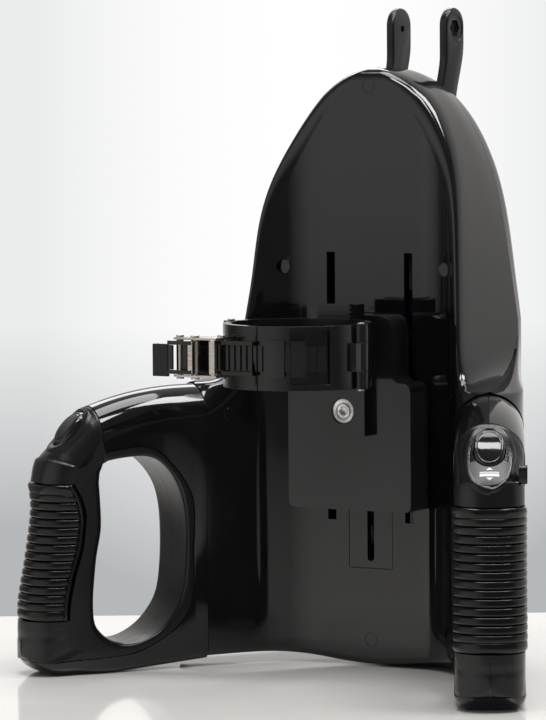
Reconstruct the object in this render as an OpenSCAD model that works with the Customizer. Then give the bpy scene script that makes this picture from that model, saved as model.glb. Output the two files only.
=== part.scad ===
// Two-grip reciprocating ring-clamp unit: a shield-shaped housing with a trough in
// its face, a carriage that a belt drives up and down two rods, a hinged ring clamp
// closed by a ladder strap and a lever buckle, and two splayed arms with D-handles.
// Millimetres, +Z up, the trough opens towards -Y, X = 0 is the plane of symmetry.

/* [Housing] */
// Height of the dome's crown above the floor
dome_h = 397; // [385:1:415]
// Half-width of the dome at its widest, in the plane of its outline
dome_half_w = 91; // [89:1:96]
// Height at which the dome's outline starts to close
dome_start_z = 100; // [95:1:108]
// Depth from the trough's flat to the back
body_depth = 80; // [79:1:86]
// Wall of the moulded covers
wall = 2.8; // [2.2:0.1:3.4]
// Radius of the rim between trough and side wall
rim_r = 15; // [12:1:18]
// Gap left at every moulded seam
seam_gap = 0.3; // [0.2:0.05:0.4]
// Height of the arch under the body between its middle and the grips
arch_h = 6; // [3:1:8]
// Radius of the covers' bottom edge
bottom_r = 5; // [4:0.5:6]

/* [Trough] */
// Half-width of the flat at the bottom of the trough
flat_half = 35.8; // [35.5:0.1:37]
// Radius of the trough's two curved sides
trough_r = 50; // [48:1:53]
// Angle of each arm from straight ahead
splay = 30; // [28:1:32]

/* [Arms] */
// Distance along the arm from the end of the trough's curve to the grip post
arm_reach = 135; // [132:1:138]
// Half of the arm's thickness
arm_half_t = 22.5; // [22:0.25:23.5]
// Height of the arm's crest
crest_z = 188; // [186:1:190]
// How far the crest falls between the cover's seam and the handle
crest_drop = 12.5; // [10:0.5:14]
// Distance from the post back to the seam between cover and arm
seam_s = 103; // [102:1:105]

/* [Handles] */
// Half of the handle frame's thickness
handle_half_t = 22; // [21.5:0.25:22.25]
// Rounding of the frame's edge at the hand opening
opening_round = 6; // [4:0.5:8]
// Rounding of the grip post's outer edge
post_round = 20; // [16:0.5:21]
// Thickness of the rubber grip under its ribs
grip_t = 2.6; // [2:0.1:3]
// Height of the grip's ribs
rib_h = 1.5; // [0.8:0.1:2]
// Number of ribs on each grip
rib_count = 14; // [8:1:16]
// Lower end of the grip
grip_z0 = 37; // [35:1:40]
// Upper end of the grip
grip_z1 = 126; // [120:1:128]
// Length of the oval thumb rocker
rocker_l = 26; // [22:0.5:27]
// Width of the oval thumb rocker
rocker_w = 20; // [16:0.5:21]
// Travel of the side button
button_travel = 1.5; // [1:0.1:2]

/* [Slide] */
// Distance of each guide slot from the middle
slot_x = 30; // [29.5:0.25:30.5]
// Width of the guide slots
slot_w = 6.5; // [6:0.1:7]
// Lower end of the guide slots
slot_z0 = 96; // [94:1:98]
// Upper end of the guide slots
slot_z1 = 275; // [272:1:280]
// Height of the guide arms that pass through the slots
guide_arm_h = 38; // [34:1:40]
// Lower end of the guide arms with the carriage at rest
guide_arm_z = 142; // [141:1:144]
// Diameter of the steel guide rods
rod_d = 8; // [6:1:9]
// Running clearance of shafts and pins in their bores
run_gap = 0.05; // [0.03:0.01:0.08]

/* [Carriage] */
// Half-width of the carriage plate
plate_half_w = 47.3; // [46:0.1:48]
// Lower edge of the carriage plate
plate_z0 = 107; // [105:1:109]
// Height at which the plate narrows to its neck
shoulder_z = 195; // [192:1:198]
// Top of the neck
neck_z1 = 236; // [234:1:240]
// Half-width of the neck
neck_half_w = 32.7; // [31:0.1:34]
// Distance of the plate's face in front of the trough's flat
plate_face = 27; // [25:0.5:29]
// Wall of the carriage cover
plate_wall = 2.5; // [2:0.1:3]

/* [Ring clamp] */
// Distance of the ring's centre in front of the trough's flat
ring_y = 90; // [88:0.5:92]
// Outer radius of the ring
ring_r = 48; // [47:0.5:49]
// Wall of the ring
ring_wall = 5; // [4.5:0.1:5.5]
// Lower edge of the ring
ring_z0 = 193; // [192:0.5:194]
// Height of the ring
ring_h = 41.5; // [40:0.5:43]
// Thickness of the rubber pads inside the ring
pad_t = 4; // [3.5:0.25:5]
// Diameter of the jaw hinge pins
hinge_pin_d = 3; // [2.5:0.1:3.4]
// Width of the ladder strap
strap_h = 16; // [14:0.5:17]
// Pitch of the ladder strap's teeth
strap_pitch = 4.5; // [4:0.1:5]

/* [Fork] */
// Inner distance between the fork's two ears
fork_gap = 35.4; // [34:0.1:37]
// Thickness of an ear
ear_t = 6; // [5:0.25:7]
// Width of an ear
ear_w = 24; // [22:0.5:25]
// Height of the fork's cross bore above the dome's crown
fork_rise = 27; // [24:1:30]
// Diameter of the fork's cross bore
fork_hole_d = 4.5; // [4:0.1:5]

/* [Drive] */
// Radius of the belt's inner face on its pulleys
belt_r = 10; // [9:0.25:11]
// Width of the belt
belt_w = 8; // [6:0.5:9]
// Height of the lower, driven pulley
pulley_low_z = 62; // [60:1:66]
// Height of the upper, idling pulley
pulley_high_z = 304; // [300:1:308]
// Diameter of the gear motor
motor_d = 36; // [34:0.5:38]
// Depth left behind the gear motor
motor_room = 7.7; // [7:0.1:12]

/* [Hidden] */

// The row's Y = 0 lies midway between the grips' front and the back.
panel_y = 34.84;
part_gap = 0.3;
eps = 0.01;
gloss = [0.03, 0.03, 0.035];
matte = [0.07, 0.07, 0.075];
rubber = [0.05, 0.05, 0.05];
steel = [0.72, 0.72, 0.74];

module in_frame() {
    translate([0, panel_y, 0]) children();
}

// ---------------------------------------------------------------- plan of the body
turn = 90 - splay;
arc_len = trough_r * turn * PI / 180;
curve_a = flat_half + arc_len;
arm_dir = [sin(splay), -cos(splay)];
arm_in = [-cos(splay), -sin(splay)];
curve_end = [flat_half + trough_r * sin(turn), -trough_r * (1 - cos(turn))];
foot = curve_end - arm_half_t * arm_in + arm_reach * arm_dir;
seam_a = curve_a + arm_reach - seam_s;
part_y = 52;

function mix(a, b, t) = a + (b - a) * t;
function clamp01(t) = max(0, min(1, t));

// A point in plan from arm coordinates: s outwards from the post, n towards the middle
function arm_pt(s, n) = foot + s * arm_dir + n * arm_in;

// The trough's plan curve at running length a from the middle
function trough(a) =
    a <= flat_half ? [a, 0]
    : a <= curve_a
        ? let(t = (a - flat_half) / trough_r * 180 / PI)
            [flat_half + trough_r * sin(t), -trough_r * (1 - cos(t))]
    : curve_end + (a - curve_a) * arm_dir;

// The running length at which the trough reaches the half-width x
function trough_len(x) =
    x <= flat_half ? x
    : x <= curve_end.x ? flat_half + trough_r * asin((x - flat_half) / trough_r) * PI / 180
    : curve_a + (x - curve_end.x) / arm_dir.x;

// ---------------------------------------------------------------- outline of the dome
dome_pow = 2.2;
side_draft = 9;
fall_y = 30;
crown_fall = 16;
crown_edge = 9;
flare_z = 230;
crown_share = 0.045;

function dome_w(z) =
    dome_half_w * sqrt(1 - pow((z - dome_start_z) / (dome_h - dome_start_z), dome_pow));
function dome_z(share) =
    dome_start_z + (dome_h - dome_start_z) * pow(1 - share * share, 1 / dome_pow);
flare_share = dome_w(flare_z) / dome_half_w;

// 0 at the arms' crest, 1 where the flare has run out into the dome
function flare(z) = 1 - pow(1 - clamp01((z - crest_z) / (flare_z - crest_z)), 3);
// Half-thickness of the arm where it rounds over to its crest
crest_low = crest_z - arm_half_t;
function crest_n(z) =
    z <= crest_low ? arm_half_t
    : z >= crest_z ? 0
    : arm_half_t * sqrt(1 - pow((z - crest_low) / arm_half_t, 2));

// Heights of the sections that the covers are lofted through
section_z = concat(
    [bottom_r, 40, 90, 140],
    [for (a = [0, 30, 52, 70]) crest_low + arm_half_t * sin(a)],
    [for (t = [0, 0.2, 0.4, 0.6, 0.8]) crest_z + (flare_z - crest_z) * (1 - pow(1 - t, 1 / 3))],
    [for (i = [0:9]) dome_z(mix(flare_share, crown_share, i / 9))]
);
section_n = len(section_z);

// Where the cover's section ends: on the arm's seam below, on the dome's parting above
function section_end(z, side) =
    mix(arm_pt(-seam_s, side * crest_n(z)), [dome_w(max(z, flare_z - 1)), part_y], flare(z));

// ---------------------------------------------------------------- front cover
trough_steps = 7;
rim_steps = 4;

function front_corner(z) =
    trough(mix(seam_a - 10, trough_len(dome_w(max(z, flare_z))), flare(z)));
function front_start_len(z) =
    mix(curve_a, max(trough_len(dome_w(max(z, flare_z))) - rim_r,
        0.45 * trough_len(dome_w(max(z, flare_z)))), flare(z));
function trough_share(i) = i == 0 ? 0 : mix(0.38, 1, (i - 1) / (trough_steps - 1));
function front_half(z) =
    let(a = front_start_len(z), t = trough(a), c = front_corner(z), p = section_end(z, 1),
        k = c + min(0.7, rim_r / norm(p - c)) * (p - c))
    concat(
        [for (i = [0:trough_steps]) trough(a * trough_share(i))],
        [for (i = [1:rim_steps]) let(u = i / rim_steps)
            (1 - u) * (1 - u) * t + 2 * u * (1 - u) * c + u * u * k],
        [p]
    );
half_n = trough_steps + rim_steps + 2;

// The parting line under the body, as far along as point i of a section
part_knee = [curve_end.x - 18, part_y];
function part_line(u) =
    let(e = arm_pt(-seam_s, 0), l1 = part_knee.x, l2 = norm(e - part_knee),
        d = u * (l1 + l2))
    d <= l1 ? [d, part_y] : mix(part_knee, e, (d - l1) / l2);

function arch(x) = arch_h * pow(sin(180 * min(1, abs(x) / foot.x)), 2);
// Raises a section's point for the arch below, lowers it where the crown falls to the back
function lift(p, z) = [p.x, p.y, z + 1 + arch(p.x) * clamp01(1 - z / 60)
    - crown_fall * pow(clamp01((p.y - fall_y) / (body_depth - fall_y)), 2)
        * clamp01((z - flare_z) / (dome_h - flare_z))];
// Sets the top of the face back, so that its upper edge is rounded over
function set_back(p, z) =
    let(q = clamp01((z - dome_h + crown_edge) / crown_edge))
    [p.x, p.y + crown_edge * (1 - sqrt(1 - q * q)) * clamp01(1 - p.y / part_y)];

function front_rows() =
    let(low = front_half(section_z[0]))
    concat(
        [[for (i = [0:half_n - 1]) lift(part_line(i / (half_n - 1)), 0)]],
        [[for (i = [0:half_n - 1]) let(q = part_line(i / (half_n - 1)))
            lift(low[i] + bottom_r * (q - low[i]) / norm(q - low[i]), 0)]],
        [for (z = section_z) [for (p = front_half(z)) lift(set_back(p, z), z)]]
    );

// ---------------------------------------------------------------- rear cover
back_steps = 3;
corner_steps = 4;
side_steps = 3;
rear_half_n = back_steps + corner_steps + side_steps + 2;
crown_z = 340;
corner_r = 38;

function back_y(z) =
    part_y + (body_depth - part_y)
        * sqrt(max(0.02, 1 - pow(clamp01((z - crown_z) / (dome_h + 1 - crown_z)), 4)))
        - 5 * clamp01((crest_z - z) / crest_z);
function low_corner(z) =
    let(o = arm_pt(-seam_s, -arm_half_t), d = (back_y(z) - o.y) / -arm_dir.y)
    o - d * arm_dir;
function rear_corner(z) =
    mix(low_corner(z), [dome_w(max(z, flare_z))
        - side_draft * clamp01((dome_h - max(z, flare_z)) / (dome_h - flare_z)), back_y(z)], flare(z));
function rear_half(z) =
    let(f = flare(z), w = dome_w(max(z, flare_z)), c = rear_corner(z), p = section_end(z, -1),
        reach = mix(corner_r, min(corner_r, 0.6 * w), f),
        drop = mix(corner_r, min(corner_r, 0.75 * (back_y(z) - part_y)), f),
        b = [c.x - reach, c.y],
        k = c + drop * unit(mix(arm_dir, unit(p - c), f)),
        m = mix(arm_pt(-seam_s - 34, -arm_half_t), mix(k, p, 0.4), f),
        q = mix(arm_pt(-seam_s - 10, -arm_half_t), mix(k, p, 0.7), f))
    concat(
        [for (i = [0:back_steps]) [b.x * i / back_steps, b.y + 3 * (1 - pow(i / back_steps, 2))
            * clamp01(w / 60)]],
        [for (i = [1:corner_steps]) let(u = i / corner_steps)
            (1 - u) * (1 - u) * b + 2 * u * (1 - u) * c + u * u * k],
        [for (i = [0:side_steps - 1]) let(u = i / side_steps)
            (1 - u) * (1 - u) * m + 2 * u * (1 - u) * q + u * u * p],
        [p]
    );

function rear_rows() =
    let(low = rear_half(section_z[0]))
    concat(
        [[for (i = [0:rear_half_n - 1]) lift(part_line(i / (rear_half_n - 1)), 0)]],
        [[for (i = [0:rear_half_n - 1]) let(q = part_line(i / (rear_half_n - 1)))
            lift(low[i] + min(bottom_r, 0.5 * norm(q - low[i])) * (q - low[i])
                / max(norm(q - low[i]), eps), 0)]],
        [for (z = section_z) [for (p = rear_half(z)) lift(p, z)]]
    );

// ---------------------------------------------------------------- shells from grids
// A full row: the half row's mirror image, then the half row, left to right
function both_halves(row) =
    let(n = len(row))
    concat([for (i = [n - 1:-1:1]) [-row[i].x, row[i].y, row[i].z]], row);
function unit(v) = v / max(norm(v), 1e-9);
function grid_normal(g, i, j) =
    let(a = g[min(i + 1, len(g) - 1)][j] - g[max(i - 1, 0)][j],
        b = g[i][min(j + 1, len(g[0]) - 1)] - g[i][max(j - 1, 0)])
    unit(cross(b, a));
// At the covers' parting: square to the edge and to Y, so that both covers end alike
function edge_normal(g, i, j) =
    let(d = g[min(i + 1, len(g) - 1)][j] - g[i - 1][j])
    sign(g[i][j].x) * unit([d.z, 0, -d.x]);
function flat_list(g) = [for (r = g) for (p = r) p];

// A closed shell of thickness t behind a grid of points, closed over its last row, of which
// the given number of points beside the middle lie on one line
module grid_shell(g, t, flip, lined) {
    rows = len(g);
    cols = len(g[0]);
    inner = [for (i = [0:rows - 1]) [for (j = [0:cols - 1])
        let(edge = (j == 0 || j == cols - 1) && g[i][j].z > crest_z,
            p = g[i][j] - t * (edge ? edge_normal(g, i, j) : (flip ? -1 : 1) * grid_normal(g, i, j)),
            top = g[rows - 1][j].z - t)
        i == rows - 1 ? [p.x, p.y, top] : [p.x, p.y, min(p.z, top - (rows - 1 - i) * 0.05)]]];
    n = rows * cols;
    quads = concat(
        [for (i = [0:rows - 2]) for (j = [0:cols - 2]) let(a = i * cols + j)
            each [[a, a + cols, a + 1], [a + 1, a + cols, a + cols + 1]]],
        [for (i = [0:rows - 2]) for (j = [0:cols - 2]) let(a = n + i * cols + j)
            each [[a, a + 1, a + cols], [a + 1, a + cols + 1, a + cols]]],
        [for (j = [0:cols - 2]) each [[j, j + 1, n + j], [j + 1, n + j + 1, n + j]]],
        [for (i = [0:rows - 2]) let(a = i * cols, b = a + cols)
            each [[a, n + a, b], [b, n + a, n + b]]],
        [for (i = [0:rows - 2]) let(a = i * cols + cols - 1, b = a + cols)
            each [[a, b, n + a], [b, n + b, n + a]]]
    );
    last = (rows - 1) * cols;
    m0 = (cols - 1) / 2 - lined - 1;
    caps = concat(
        [for (j = [0:m0 - 1]) let(a = last + j, b = last + cols - 1 - j)
            each [[b, b - 1, a], [a, b - 1, a + 1]]],
        [[for (j = [cols - 1 - m0:-1:m0]) last + j]],
        [for (j = [0:m0 - 1]) let(a = n + last + j, b = n + last + cols - 1 - j)
            each [[a, b - 1, b], [a, a + 1, b - 1]]],
        [[for (j = [m0:cols - 1 - m0]) n + last + j]],
        [[last, n + last, n + last + cols - 1, last + cols - 1]]
    );
    faces = concat(quads, caps);
    polyhedron(
        points = concat(flat_list(g), flat_list(inner)),
        faces = flip ? [for (f = faces) [for (k = [len(f) - 1:-1:0]) f[k]]] : faces,
        convexity = 8
    );
}

module front_shell() {
    grid_shell([for (r = front_rows()) both_halves(r)], wall, false, trough_steps);
}
module rear_shell() {
    grid_shell([for (r = rear_rows()) both_halves(r)], wall, true, 0);
}

// ---------------------------------------------------------------- covers
plug_r = 4.5;
plug_t = 1.2;
boss_r = 4.5;
boss_y = 22;
screw_r = 1.4;
screw_head_r = 2.8;
// Screw places on the front: x, z and the trough's depth there
plug_xz = [[0, dome_h - 11], [0, 18], [62, 266], [-62, 266]];
function plug_y(x) = trough(trough_len(abs(x))).y;
// Screw places on the trough's straight walls: heights, and the distance past the curve
wall_plug_z = [101.6, 168];
wall_plug_d = 14.4;
// Local axes at a wall plug: Y into the arm, at right angles to the trough's wall
module at_wall_plugs() {
    for (side = [0, 1]) mirror([side, 0, 0]) for (z = wall_plug_z)
        translate([curve_end.x + wall_plug_d * arm_dir.x, curve_end.y + wall_plug_d * arm_dir.y, z])
            rotate([0, 0, -turn]) children();
}
chassis_y = 36.3;
chassis_t = 3;
chassis_boss = [[40, 52], [-40, 52], [40, 310], [-40, 310]];
panel_half_w = 17;
panel_z0 = 65;
panel_z1 = 232;
tongue_w = 4;
tongue_z = guide_arm_z - 24;
tongue_h = 10;
travel_down = guide_arm_z - slot_z0 - 1;
travel_up = slot_z1 - guide_arm_z - guide_arm_h - 1;

// A cylinder along +Y whose near end is at the given point
module rod_y(p, r, l, fn = 32) {
    translate(p) rotate([-90, 0, 0]) cylinder(r = r, h = l, $fn = fn);
}

module front_cover() {
    color(gloss) in_frame() difference() {
        union() {
            front_shell();
            for (q = plug_xz) rod_y([q.x, plug_y(q.x) + 1, q.y], boss_r, boss_y - plug_y(q.x) - 1);
            for (q = chassis_boss) rod_y([q.x, 1, q.y], boss_r, chassis_y - 1 - eps);
            at_wall_plugs() rod_y([0, 1, 0], boss_r, boss_y - 1);
        }
        at_wall_plugs() {
            rod_y([0, -1, 0], plug_r + 0.15, plug_t + 1);
            rod_y([0, 0, 0], screw_head_r + 0.2, wall + 2);
            rod_y([0, 0, 0], screw_r + run_gap, 40);
        }
        for (side = [-1, 1]) translate([side * slot_x - slot_w / 2, -1, slot_z0])
            cube([slot_w, wall + 2, slot_z1 - slot_z0]);
        translate([-panel_half_w, -1, panel_z0])
            cube([2 * panel_half_w, wall + 2, panel_z1 - panel_z0]);
        for (q = plug_xz) {
            rod_y([q.x, plug_y(q.x) - 3, q.y], plug_r + 0.15, plug_t + 3);
            rod_y([q.x, plug_y(q.x), q.y], screw_head_r + 0.2, wall + 2);
            rod_y([q.x, plug_y(q.x), q.y], screw_r + run_gap, 40);
        }
        for (q = chassis_boss) rod_y([q.x, chassis_y - 12, q.y], screw_r + run_gap, 14);
    }
}

fork_hole_z = dome_h + fork_rise;
fork_base_z = dome_h - 45;
fork_base_h = 24;
fork_foot_w = 10;
fork_y = body_depth - 6;
ear_cut_h = dome_h - fork_base_z + 35;
socket_z = 32;
socket_r = 5.5;

crown_post_share = 0.56;
// Where a screw post ends, inside the rear wall or under the crown
function post_end(x, z) =
    z > crown_z ? fall_y + crown_post_share * (body_depth - fall_y)
    : lookup(abs(x) + boss_r, [for (p = rear_half(z)) [p.x, p.y]]) - 0.3;

module rear_cover() {
    color(gloss) in_frame() difference() {
        union() {
            translate([0, seam_gap, 0]) rear_shell();
            for (q = plug_xz) rod_y([q.x, boss_y + part_gap, q.y], boss_r,
                post_end(q.x, q.y) - boss_y);
            at_wall_plugs() rod_y([0, boss_y + part_gap, 0], boss_r,
                2 * arm_half_t - 1 - boss_y);
        }
        at_wall_plugs() rod_y([0, boss_y, 0], screw_r + run_gap, 14);
        for (q = plug_xz) rod_y([q.x, boss_y, q.y], screw_r + run_gap, 16);
        for (side = [-1, 1])
            translate([side * (fork_gap + ear_t) / 2 - ear_t / 2 - part_gap,
                fork_y - ear_w / 2 - part_gap, fork_base_z + 10]) {
                cube([ear_t + 2 * part_gap, fork_foot_w + 2 * part_gap, ear_cut_h]);
                translate([0, 0, fork_base_h - 10 - part_gap])
                    cube([ear_t + 2 * part_gap, ear_w + 10, ear_cut_h]);
            }
        rod_y([0, body_depth - 12, socket_z], socket_r + 0.2, 20);
    }
}

// Insert in the trough's flat, with the slot for the drive tongue
module slot_panel() {
    color(gloss) in_frame() difference() {
        union() {
            translate([-panel_half_w + part_gap, 0, panel_z0 + part_gap])
                cube([2 * (panel_half_w - part_gap), wall + 0.5, panel_z1 - panel_z0 - 2 * part_gap]);
            translate([-panel_half_w - 3, wall + eps, panel_z0 - 3])
                cube([2 * panel_half_w + 6, 1.5, panel_z1 - panel_z0 + 6]);
        }
        translate([-2.5, -1, tongue_z - travel_down]) cube([5, wall + 4,
            tongue_h + travel_down + travel_up + 1]);
        rod_y([0, -1, tongue_z - travel_down], 2.5, wall + 4);
    }
}

module screw_plugs() {
    color(gloss) in_frame() {
        for (q = plug_xz) rod_y([q.x, plug_y(q.x), q.y], plug_r, plug_t - 0.1);
        at_wall_plugs() rod_y([0, 0, 0], plug_r, plug_t - 0.1);
    }
}

module housing_screws() {
    color(steel) in_frame() {
        for (q = plug_xz) {
            rod_y([q.x, plug_y(q.x) + wall + 0.2, q.y], screw_head_r, 1.8);
            rod_y([q.x, plug_y(q.x) + wall + 1.9, q.y], screw_r, 32);
        }
        at_wall_plugs() {
            rod_y([0, wall + 0.2, 0], screw_head_r, 1.8);
            rod_y([0, wall + 1.9, 0], screw_r, 28);
        }
        for (q = chassis_boss) {
            rod_y([q.x, chassis_y + chassis_t, q.y], screw_head_r, 1.8);
            rod_y([q.x, chassis_y - 10, q.y], screw_r, 10 + chassis_t + eps);
        }
    }
}

// Two ears on one base, bored across for whatever is held between them
module fork() {
    hex_r = 5.5 / cos(30);
    color(matte) in_frame() difference() {
        union() {
            for (side = [-1, 1]) translate([side * (fork_gap + ear_t) / 2, fork_y, 0]) {
                translate([-ear_t / 2, -ear_w / 2, fork_base_z])
                    cube([ear_t, fork_foot_w, fork_hole_z + 2 - fork_base_z]);
                translate([-ear_t / 2, -ear_w / 2, fork_base_z + fork_base_h])
                    cube([ear_t, ear_w, fork_hole_z + 2 - fork_base_z - fork_base_h]);
                translate([-ear_t / 2, 0, fork_hole_z + 2]) rotate([0, 90, 0])
                    cylinder(r = ear_w / 2, h = ear_t, $fn = 48);
            }
            translate([-26, fork_y - ear_w / 2, fork_base_z])
                cube([52, fork_foot_w, 10]);
        }
        translate([-fork_gap, fork_y, fork_hole_z]) rotate([0, 90, 0])
            cylinder(d = fork_hole_d, h = 2 * fork_gap, $fn = 32);
        translate([fork_gap / 2 + ear_t - 0.6, fork_y, fork_hole_z]) rotate([0, 90, 0])
            cylinder(r = 9.5, h = 2, $fn = 48);
        translate([fork_gap / 2 + ear_t - 3, fork_y, fork_hole_z]) rotate([0, 90, 0])
            cylinder(r = hex_r, h = 4, $fn = 6);
    }
}

// ---------------------------------------------------------------- arms and handles
// Local axes on an arm: X outwards along it from the grip post, Y to its outer side
module on_arm(side) {
    in_frame()
        if (side > 0) translate([foot.x, foot.y, 0]) rotate([0, 0, -turn]) children();
        else mirror([1, 0, 0]) translate([foot.x, foot.y, 0]) rotate([0, 0, -turn]) children();
}

// Hand opening and the frame's outer edge, paired point by point round the loop
hand_opening = [
    [-26.9, 135.6], [-26.6, 134.2], [-26.4, 133], [-26.2, 131.8], [-26, 130.2], [-25.7, 126.5], [-27, 98],
    [-23.5, 78], [-20.8, 52], [-21, 36.8], [-21.8, 33.2], [-23.4, 30], [-26, 27], [-34, 21.5], [-50, 19],
    [-66, 25], [-79, 38], [-86, 56], [-87.5, 96], [-82, 122], [-68, 139], [-52, 142.7],
    [-31, 140.6], [-27.8, 137.8]
];
frame_edge = [
    [-25.2, 175.4], [-19, 171.2], [-3.7, 153.4], [8, 142], [11.6, 130], [12.5, 126.6], [14.5, 101],
    [18.5, 76], [23, 48], [23.4, 36.6], [23.6, 33], [23.6, 24], [22, 10.3], [-5, 9.8], [-46, 11.8],
    [-69.8, 20.8], [-84.7, 32.3], [-92.2, 48.2], [-92.7, 80], [-91.7, 115.8], [-69.8, 144.2],
    [-51, 149.7], [-29, 147.4], [-26.7, 156]
];
// The pairs between which the frame is stepped down under the rubber grip
grip_pairs = [5, 9];
// The pairs between which the frame meets the arm, and how its free edge is rounded
seam_pairs = [13, 23];
edge_round = [0.5, 0.5, 0.6, 1, 1, 1, 1, 1, 1, 1, 1, 1, 1, 0.1, 0, 0, 0, 0, 0, 0, 0, 0, 0, 0.1];
// Inner edge of the rubber grip's face
pad_edge = [[37, -1.6], [50, -2.4], [66, -6], [85, -12.6], [105, -15], [118, -11.3], [126, -6.2]];

function arm_top(s) = crest_z - crest_drop * pow(clamp01((s + seam_s) / 78), 2.3);
function arm_low(s) =
    s < -34 ? 5.2 * clamp01((-34 - s) / (seam_s - 34)) : s < 2 ? 0 : 12 * pow((s - 2) / 20, 2.2);
function toe_t(s) = arm_half_t * sqrt(1 - pow(clamp01((s - 4) / 20), 2));

// Closed rings of points, one after another, capped at both ends; a banded ring runs out
// along one side and back along the other, point for point
module ring_loft(rings, banded = false) {
    n = len(rings[0]);
    m = len(rings);
    z = (m - 1) * n;
    end = banded ? [for (i = [0:n / 2 - 2]) each [[i, i + 1, n - 1 - i], [i + 1, n - 2 - i, n - 1 - i]]]
        : [[for (i = [0:n - 1]) i]];
    polyhedron(
        points = [for (r = rings) for (p = r) p],
        faces = concat(
            end,
            [for (k = [0:m - 2]) for (i = [0:n - 1])
                let(a = k * n + i, b = k * n + (i + 1) % n)
                each [[a, a + n, b], [b, a + n, b + n]]],
            [for (f = end) [for (i = [len(f) - 1:-1:0]) z + f[i]]]
        ),
        convexity = 8
    );
}

// Half of an arm, on its inner side: crest rounded over to the parting line
module arm_half_body() {
    stations = [-seam_s + seam_gap, -90, -77, -64, -52, -44, -36, -25.5, -18, 4, 11, 17, 21, 23.5];
    ring_loft([for (s = stations)
        let(t = toe_t(s), top = s < -20 ? arm_top(s) : 60, low = arm_low(s),
            knee = min(bottom_r, 0.4 * t))
        concat(
            [[s, -seam_gap / 2, top]],
            [for (a = [78, 62, 45, 25, 0]) [s, -t * cos(a), top - t * (1 - sin(a))]],
            [[s, -t, low + knee], [s, 0.3 * knee - t, low + 0.3 * knee],
                [s, knee - t, low], [s, -seam_gap / 2, low]]
        )]);
}

module arm_half() {
    edge = finer(frame_edge);
    difference() {
        arm_half_body();
        translate([0, 5, 0]) rotate([90, 0, 0]) linear_extrude(40) polygon(concat(
            [[-26.1, crest_z + 22], [60, crest_z + 22], [60, 10]],
            [for (i = [2 * seam_pairs[0] - 2:2 * seam_pairs[1] + 1])
                let(d = wrap(edge, i + 1) - edge[i - 1])
                edge[i] + 2 * seam_gap * unit([-d.y, d.x])]
        ));
        translate([-seam_s - 5, -14, 25]) cube([9, 10, 130]);
    }
}

module arm_outer_half() {
    mirror([0, 1, 0]) arm_half();
}
module left_arm_front() color(gloss) on_arm(-1) arm_half();
module left_arm_rear() color(gloss) on_arm(-1) arm_outer_half();
module right_arm_front() color(gloss) on_arm(1) arm_half();
module right_arm_rear() color(gloss) on_arm(1) arm_outer_half();

function wrap(v, i) = v[(i + len(v)) % len(v)];
// The loop's control points with one more set between each two, on a curve where they lie
// evenly and halfway where they don't
function finer(v) = [for (i = [0:len(v) - 1])
    let(p = wrap(v, i - 1), a = v[i], b = wrap(v, i + 1), q = wrap(v, i + 2), d = 2.2 * norm(b - a))
    each [a, norm(a - p) < d && norm(q - b) < d ? (9 * (a + b) - p - q) / 16 : (a + b) / 2]];
function halfway(v) = [for (i = [0:len(v) - 1]) each [v[i], (v[i] + wrap(v, i + 1)) / 2]];
function pad_s(z) = lookup(z, pad_edge);
fine_edge = finer(frame_edge);
function edge_s(z) = lookup(z, [for (i = [24:-1:6]) [fine_edge[i].y, fine_edge[i].x]]);

// Rounding of the grip's outer edge, the same centre for the post inside it
function grip_r(z) = min(post_round, edge_s(z) - rib_h - pad_s(z) - 5.5);

module handle_half_body() {
    hole = finer(hand_opening);
    edge = finer(frame_edge);
    soft = halfway(edge_round);
    n = len(hole);
    t = handle_half_t;
    core_drop = grip_t + 0.8;
    sections = [for (i = [0:n - 1])
        let(a = hole[i], b0 = edge[i], d = unit(b0 - a),
            step = i >= 2 * grip_pairs[0] && i <= 2 * grip_pairs[1] ? 1 : 0,
            b = b0 - step * (core_drop + rib_h) * d, w = norm(b - a),
            ro = step > 0 ? grip_r(b0.y) - core_drop
                : max(0.8, min(soft[i] * post_round, 0.45 * w)),
            ri = min(opening_round, 0.35 * w),
            share = step > 0 ? (pad_s(a.y) - a.x) / (b.x - a.x) : 0.5,
            e = a + clamp01(max(share, (ri + 0.5) / w)) * w * d, lowt = t - step * core_drop)
        [
            [a, -seam_gap / 2], [a, ri - t], [a + 0.3 * ri * d, 0.3 * ri - t], [a + ri * d, -t],
            [e, -t], [e + 0.4 * d, -lowt], [b - ro * d, -lowt],
            [b - 0.5 * ro * d, 0.134 * ro - lowt], [b - 0.134 * ro * d, 0.5 * ro - lowt],
            [b, ro - lowt], [b, -seam_gap / 2]
        ]];
    m = len(sections[0]);
    polyhedron(
        points = [for (r = sections) for (p = r) [p[0].x, p[1], p[0].y]],
        faces = [for (i = [0:n - 1]) for (k = [0:m - 1])
            let(j = (i + 1) % n, l = (k + 1) % m,
                a = i * m + k, b = j * m + k, c = j * m + l, d = i * m + l)
            each [[a, d, b], [b, d, c]]],
        convexity = 10
    );
}

face_a = frame_edge[1];
face_b = frame_edge[2];
face_mid = (face_a + face_b) / 2;
face_tilt = atan2(face_b.x - face_a.x, face_a.y - face_b.y);
// Local axes on the slanted thumb face: X across the arm, Y up the slope, Z outwards
module on_thumb_face() {
    translate([face_mid.x, 0, face_mid.y]) rotate([0, 90 - face_tilt, 0]) rotate([0, 0, 90])
        children();
}
axle_depth = 5.5;
module oval(l, w, h) {
    for (e = [-1, 1]) translate([0, e * (l - w) / 2, 0]) cylinder(d = w, h = h, $fn = 48);
    translate([-w / 2, -(l - w) / 2, 0]) cube([w, l - w, h]);
}
button_s = -1;
button_z = 146;
plate_face_a = frame_edge[2];
plate_face_b = frame_edge[3];

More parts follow.
